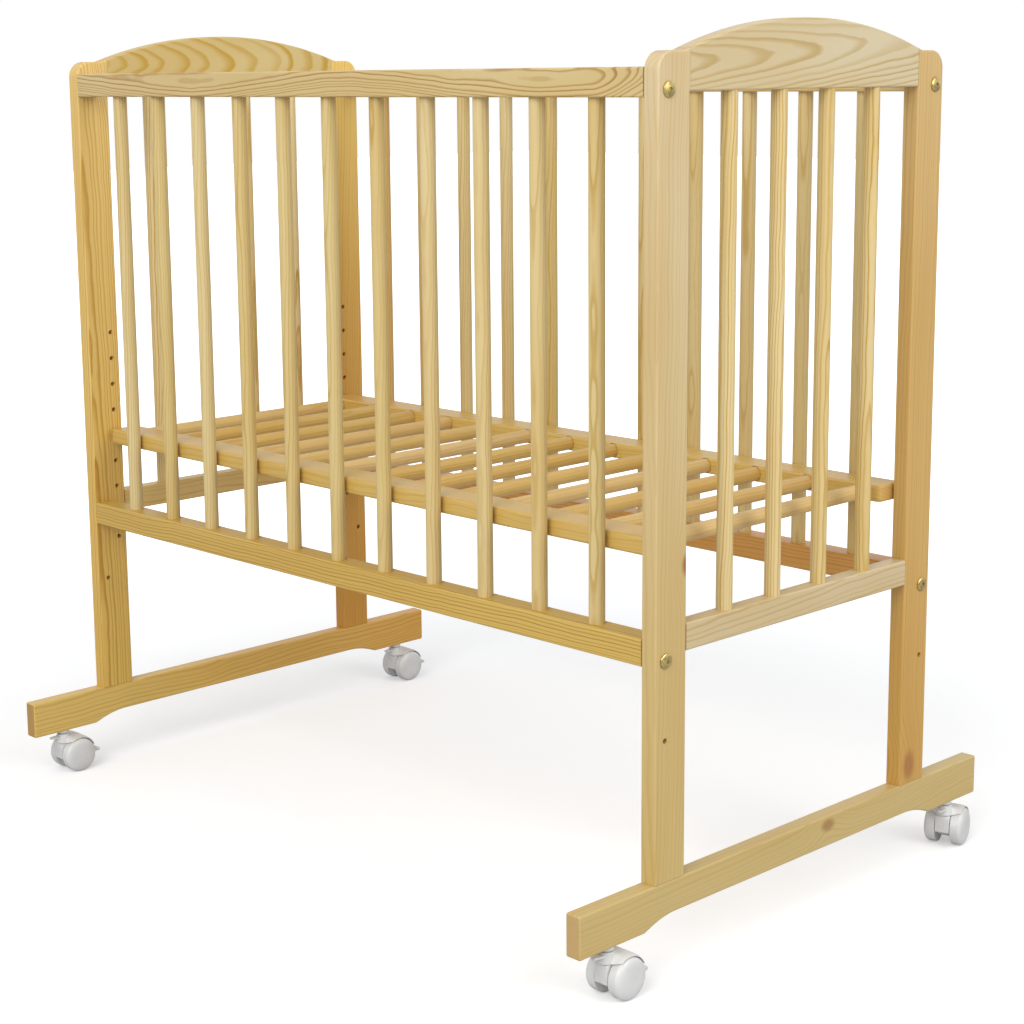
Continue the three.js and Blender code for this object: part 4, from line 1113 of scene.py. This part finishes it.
BOLT = bolt_solid()
NUT = nut_solid()
PEG = peg_solid()
for corner, (x, y, _) in CORNERS.items():
    right = 1 if x > 0 else -1
    back = 1 if y > 0 else -1
    outward = ALONG_X if x > 0 else TURN @ ALONG_X
    peg = copied(PEG, Matrix.Translation((right * INNER_X, back * PEG_Y, BASE_Z)) @ outward)
    finished(f"steel_peg_{corner}", peg, [STEEL], "root", [f"base_peg_{corner}"])
    for level, base in (("top", TOP_RAIL_BASE), ("low", SIDE_LOW_BASE)):
        twist = Matrix.Rotation(CHANCE.uniform(0, 1), 4, "Z")
        spot = Matrix.Translation((right * OUTER_X, back * RAIL_Y, base + BOLT_RISE))
        head = copied(BOLT, spot @ outward @ twist)
        finished(f"brass_bolt_{level}_{corner}", head, [BRASS], "root", [f"bolt_{level}_{corner}"])
        spot = Matrix.Translation((right * NUT_X, back * RAIL_Y, base + NUT_SINK))
        nut = copied(NUT, spot @ UPSIDE_DOWN @ twist)
        nodes = [f"barrel_nut_{level}_{corner}"]
        finished(f"steel_nut_{level}_{corner}", nut, [STEEL], "root", nodes)


# Castors


def round_the_axle(radius, degrees):
    angle = math.radians(degrees)
    return Vector((TRAIL + radius * math.cos(angle), WHEEL_RADIUS + radius * math.sin(angle)))


def web_outline():
    """The web between the wheels: hollow below, along the hood above, and rounded at its front."""
    front = TRAIL - WHEEL_RADIUS
    under = arc(*AXLE, WEB_HOLLOW, *WEB_HOLLOW_ENDS, steps=20)
    top = arc(*AXLE, HOOD_OUTER - WEB_SINK, HOOD_REAR, HOOD_FRONT, steps=24)
    nose = round_the_axle(HOOD_INNER, HOOD_FRONT).y
    bulge = (front + BROW_BULGE, nose + BROW_BULGE)
    brow = bezier(top[-1], bulge, (front, nose), (front, nose - BROW_DROP), steps=8)[1:]
    low = [Vector((front, under[0].y + CHIN)), Vector((front + CHIN, under[0].y))]
    return under + [round_the_axle(HOOD_INNER, HOOD_REAR)] + top + brow + low


def hood_solid():
    """The hood: a curved wall over both wheels that thins at its lips and sweeps up into the neck.

    Its front lip draws back towards the sides.
    """
    loops = []
    across = [-1 + 2 * i / HOOD_ACROSS for i in range(HOOD_ACROSS + 1)]
    for i in range(HOOD_ALONG + 1):
        lip = min(1.0, LIP_SHARE + LIP_GROWTH * min(i, HOOD_ALONG - i) / HOOD_ALONG)
        upper = []
        lower = []
        for share in across:
            x = HOOD_HALF * share
            front = HOOD_FRONT + LIP_EXTRA - LIP_DRAW * share * share
            degrees = HOOD_REAR + (front - HOOD_REAR) * i / HOOD_ALONG
            y = round_the_axle(HOOD_OUTER, degrees).x
            beyond = max(0.0, math.hypot(x, y) - SWEEP_START)
            sweep = SWEEP_HEIGHT * max(0.0, 1 - beyond / SWEEP_REACH) ** 2
            thinner = (1 - lip) * LIP_THINNING + HOOD_SHOULDER * abs(share) ** 6
            upper.append(Vector((x, *round_the_axle(HOOD_OUTER - thinner + sweep * lip, degrees))))
            lower.insert(0, Vector((x, *round_the_axle(HOOD_INNER, degrees))))
        loops.append(upper + lower)
    return loops_to_solid(loops)


def tongue_solid():
    """The thin tapered tongue at the front of the neck."""
    tip = arc(0, TONGUE_TIP - TONGUE_REACH, TONGUE_TIP, 180, 360, steps=16)
    outline = tip + [Vector((TONGUE_ROOT, -TONGUE_START)), Vector((-TONGUE_ROOT, -TONGUE_START))]
    base = NECK_TOP - TONGUE_DROP
    top = base + TONGUE_THICKNESS
    rings = [(base, TONGUE_EDGE), (base + TONGUE_EDGE, 0), (top - TONGUE_EDGE, 0), (top, TONGUE_EDGE)]
    return loops_to_solid([[Vector((*p, height)) for p in inset(outline, step)] for height, step in rings])


def housing_solid():
    web = board(web_outline(), 2 * WEB_HALF, WEB_EDGE, steps=3)
    corner = (-SLOT_HALF, PIVOT_Y - SLOT_ROOM, 0)
    slot = box(corner, (SLOT_HALF, TRAIL + HOOD_INNER - SLOT_WALL, PIVOT_Z + SLOT_ROOM))
    neck = turned(NECK_FOOT + NECK_HEAD, sides=48)
    return merged([cut(web, [slot]), hood_solid(), neck, tongue_solid()])


def pedal_solid():
    """The brake pedal, whose tread is hollowed on top and rounded at its tip."""
    root = TRAIL + WHEEL_RADIUS + TREAD_GAP
    tip = root + TREAD_REACH
    top = PIVOT_Z + TREAD_RISE
    under = top - TREAD_THICKNESS
    joined = root + ARM_INTO_TREAD
    arm = arc(PIVOT_Y, PIVOT_Z, ARM_RADIUS, *ARM_ROUND, steps=16)
    arm += [Vector((joined, under)), Vector((joined, top)), Vector((root - ARM_FLAT, top))]
    hollow = bezier(
        (tip, top - TREAD_TIP),
        (tip - HOLLOW_TIP_RUN, top - HOLLOW_TIP_DROP),
        (root + HOLLOW_ROOT_RUN, top - HOLLOW_ROOT_DROP),
        (root + HOLLOW_START, top),
        steps=8,
    )
    tread = [Vector((root, under))] + arc(tip, under + TREAD_TIP, TREAD_TIP, -90, 80, steps=8)
    tread += hollow[1:] + [Vector((root, top))]
    pins = pin(PIN_RADIUS, -PIN_HALF, PIN_HALF, HOLE_SIDES, "X", (0, PIVOT_Y, PIVOT_Z))
    arm_board = board(arm, ARM_WIDTH, ARM_EDGE, steps=3)
    return merged([arm_board, board(tread, TREAD_WIDTH, TREAD_EDGE, steps=4), pins])


def wheel_solid():
    """A wheel with a slightly crowned tread, a soft shoulder and a domed disc."""
    turns = [math.radians(t) for t in range(0, 88, 5)]
    rise = WHEEL_WIDTH - WHEEL_SHOULDER
    rim = [(WHEEL_BORE, 0)] + [(WHEEL_RADIUS - short, out) for short, out in RIM_ROUND]
    disc = [
        (WHEEL_RADIUS * math.cos(t) ** DISC_SQUARENESS, WHEEL_SHOULDER + rise * math.sin(t) ** DISC_FULLNESS)
        for t in turns
    ]
    return turned(rim + disc, sides=64)


HOUSING = housing_solid()
PEDAL = pedal_solid()
WHEEL = wheel_solid()
STEM = turned(STEM_PROFILE, sides=40)
for corner, (x, y, degrees) in CORNERS.items():
    castor = f"castor_{corner}"
    place = Matrix.Translation((x, y, 0)) @ Matrix.Rotation(math.radians(degrees), 4, "Z")
    stem = copied(STEM, place)
    finished(f"white_stem_{corner}", stem, [PLASTIC], "root", [f"{castor}_stem"])
    housing = copied(HOUSING, place)
    finished(f"white_housing_{corner}", housing, [PLASTIC], castor, [f"{castor}_housing"])
    pedal = f"{castor}_brake_pedal"
    finished(f"white_pedal_{corner}", copied(PEDAL, place), [PLASTIC], pedal, [pedal])
    for hand, turn in (("right", STILL), ("left", TURN)):
        body = f"{castor}_wheel_{hand}"
        start = Matrix.Translation((WEB_HALF + WHEEL_GAP, 0, 0)) @ ALONG_X
        wheel = copied(WHEEL, place @ Matrix.Translation((0, TRAIL, WHEEL_RADIUS)) @ turn @ start)
        finished(f"white_wheel_{hand}_{corner}", wheel, [PLASTIC], body, [body])
    frame["nodes"][f"{castor}_axle"].data.materials.clear()
    frame["nodes"][f"{castor}_axle"].data.materials.append(STEEL)


# Floor, world, lights and camera, in metres

FLOOR_HALF = 15
FLOOR_PALE = (0.8, 0.8, 0.8, 1)
FLOOR_PALER = (0.82, 0.82, 0.82, 1)
FLOOR_BOUNCE = (0.56, 0.56, 0.56, 1)
GLOW_START = 0.6
GLOW_FULL = 2.4
GLOW_NEAR = 0.3
SKY_TINT = (0.93, 0.96, 1.0, 1)
SKY_POWER = 0.62
WHITE = (1, 1, 1, 1)
LIGHTS_AIM = (0, 0, 0.45)
CAMERA_PLACE = (1.6959, -1.6038, 0.8498)
CAMERA_DEGREES = (46.314, 10.402, -0.597)
CAMERA_SHIFT = (0.0265, -0.0561)
CAMERA_LENS = 72.86
CAMERA_SENSOR = 36


def floor():
    """A pale floor with the object's shadow, which fades to white further off in the camera's eyes."""
    mesh = bpy.data.meshes.new("floor")
    corners = [(-FLOOR_HALF, -FLOOR_HALF, 0), (FLOOR_HALF, -FLOOR_HALF, 0)]
    corners += [(FLOOR_HALF, FLOOR_HALF, 0), (-FLOOR_HALF, FLOOR_HALF, 0)]
    mesh.from_pydata(corners, [], [(0, 1, 2, 3)])
    obj = bpy.data.objects.new("floor", mesh)
    bpy.context.scene.collection.objects.link(obj)
    material = bpy.data.materials.new("floor")
    material.use_nodes = True
    net = Net(material.node_tree)
    seen = net.add("ShaderNodeLightPath").outputs["Is Camera Ray"]
    where = net.add("ShaderNodeTexCoord").outputs["Object"]
    cloth = net.mix(net.noise(where, 3.0).outputs[0], FLOOR_PALE, FLOOR_PALER)
    matt = net.add("ShaderNodeBsdfDiffuse", {"Color": net.mix(seen, FLOOR_BOUNCE, cloth)})
    far = net.add("ShaderNodeVectorMath", {0: where}, operation="LENGTH").outputs["Value"]
    strength = net.times(seen, net.step(far, GLOW_START, GLOW_FULL, GLOW_NEAR, 1.0))
    glow = net.add("ShaderNodeEmission", {"Strength": strength})
    both = net.add("ShaderNodeAddShader", {0: matt.outputs[0], 1: glow.outputs[0]})
    net.add("ShaderNodeOutputMaterial", {0: both.outputs[0]})
    mesh.materials.append(material)


def world():
    """A dim, slightly blue sky that lights the object, and white for the camera and for mirrors."""
    surroundings = bpy.data.worlds.new("studio")
    surroundings.use_nodes = True
    net = Net(surroundings.node_tree)
    path = net.add("ShaderNodeLightPath").outputs
    mirrored = net.math("MAXIMUM", path["Is Glossy Ray"], path["Is Transmission Ray"])
    seen = net.math("MAXIMUM", path["Is Camera Ray"], mirrored)
    dim = net.add("ShaderNodeBackground", {"Color": SKY_TINT, "Strength": SKY_POWER})
    white = net.add("ShaderNodeBackground", {"Color": WHITE, "Strength": 1.0})
    mixed = net.add("ShaderNodeMixShader", {0: seen, 1: dim.outputs[0], 2: white.outputs[0]})
    net.add("ShaderNodeOutputWorld", {0: mixed.outputs[0]})
    bpy.context.scene.world = surroundings


def lamp(name, place, size, power, tint):
    data = bpy.data.lights.new(name, "AREA")
    data.size = size
    data.energy = power
    data.color = tint
    obj = bpy.data.objects.new(name, data)
    obj.location = place
    obj.rotation_euler = (Vector(LIGHTS_AIM) - Vector(place)).to_track_quat("-Z", "Y").to_euler()
    bpy.context.scene.collection.objects.link(obj)


def camera():
    """The photograph's view: place, direction and shift come from a fit to the posts, rails and feet."""
    yaw, pitch, roll = (math.radians(v) for v in CAMERA_DEGREES)
    flat = math.cos(pitch)
    forward = Vector((-math.sin(yaw) * flat, math.cos(yaw) * flat, -math.sin(pitch)))
    level = Vector((math.cos(yaw), math.sin(yaw), 0))
    upright = level.cross(forward)
    right = level * math.cos(roll) + upright * math.sin(roll)
    up = upright * math.cos(roll) - level * math.sin(roll)
    data = bpy.data.cameras.new("camera")
    data.sensor_width = CAMERA_SENSOR
    data.lens = CAMERA_LENS
    data.shift_x, data.shift_y = CAMERA_SHIFT
    obj = bpy.data.objects.new("camera", data)
    axes = Matrix((right, up, -forward)).transposed().to_4x4()
    obj.matrix_world = Matrix.Translation(CAMERA_PLACE) @ axes
    bpy.context.scene.collection.objects.link(obj)
    bpy.context.scene.camera = obj


floor()
world()
lamp("key", (1.2, -3.4, 2.6), size=2.6, power=100, tint=(1.0, 0.985, 0.96))
lamp("side", (3.4, 0.6, 2.2), size=2.4, power=55, tint=(1.0, 0.99, 0.97))
camera()
bpy.context.scene.view_settings.view_transform = "Standard"
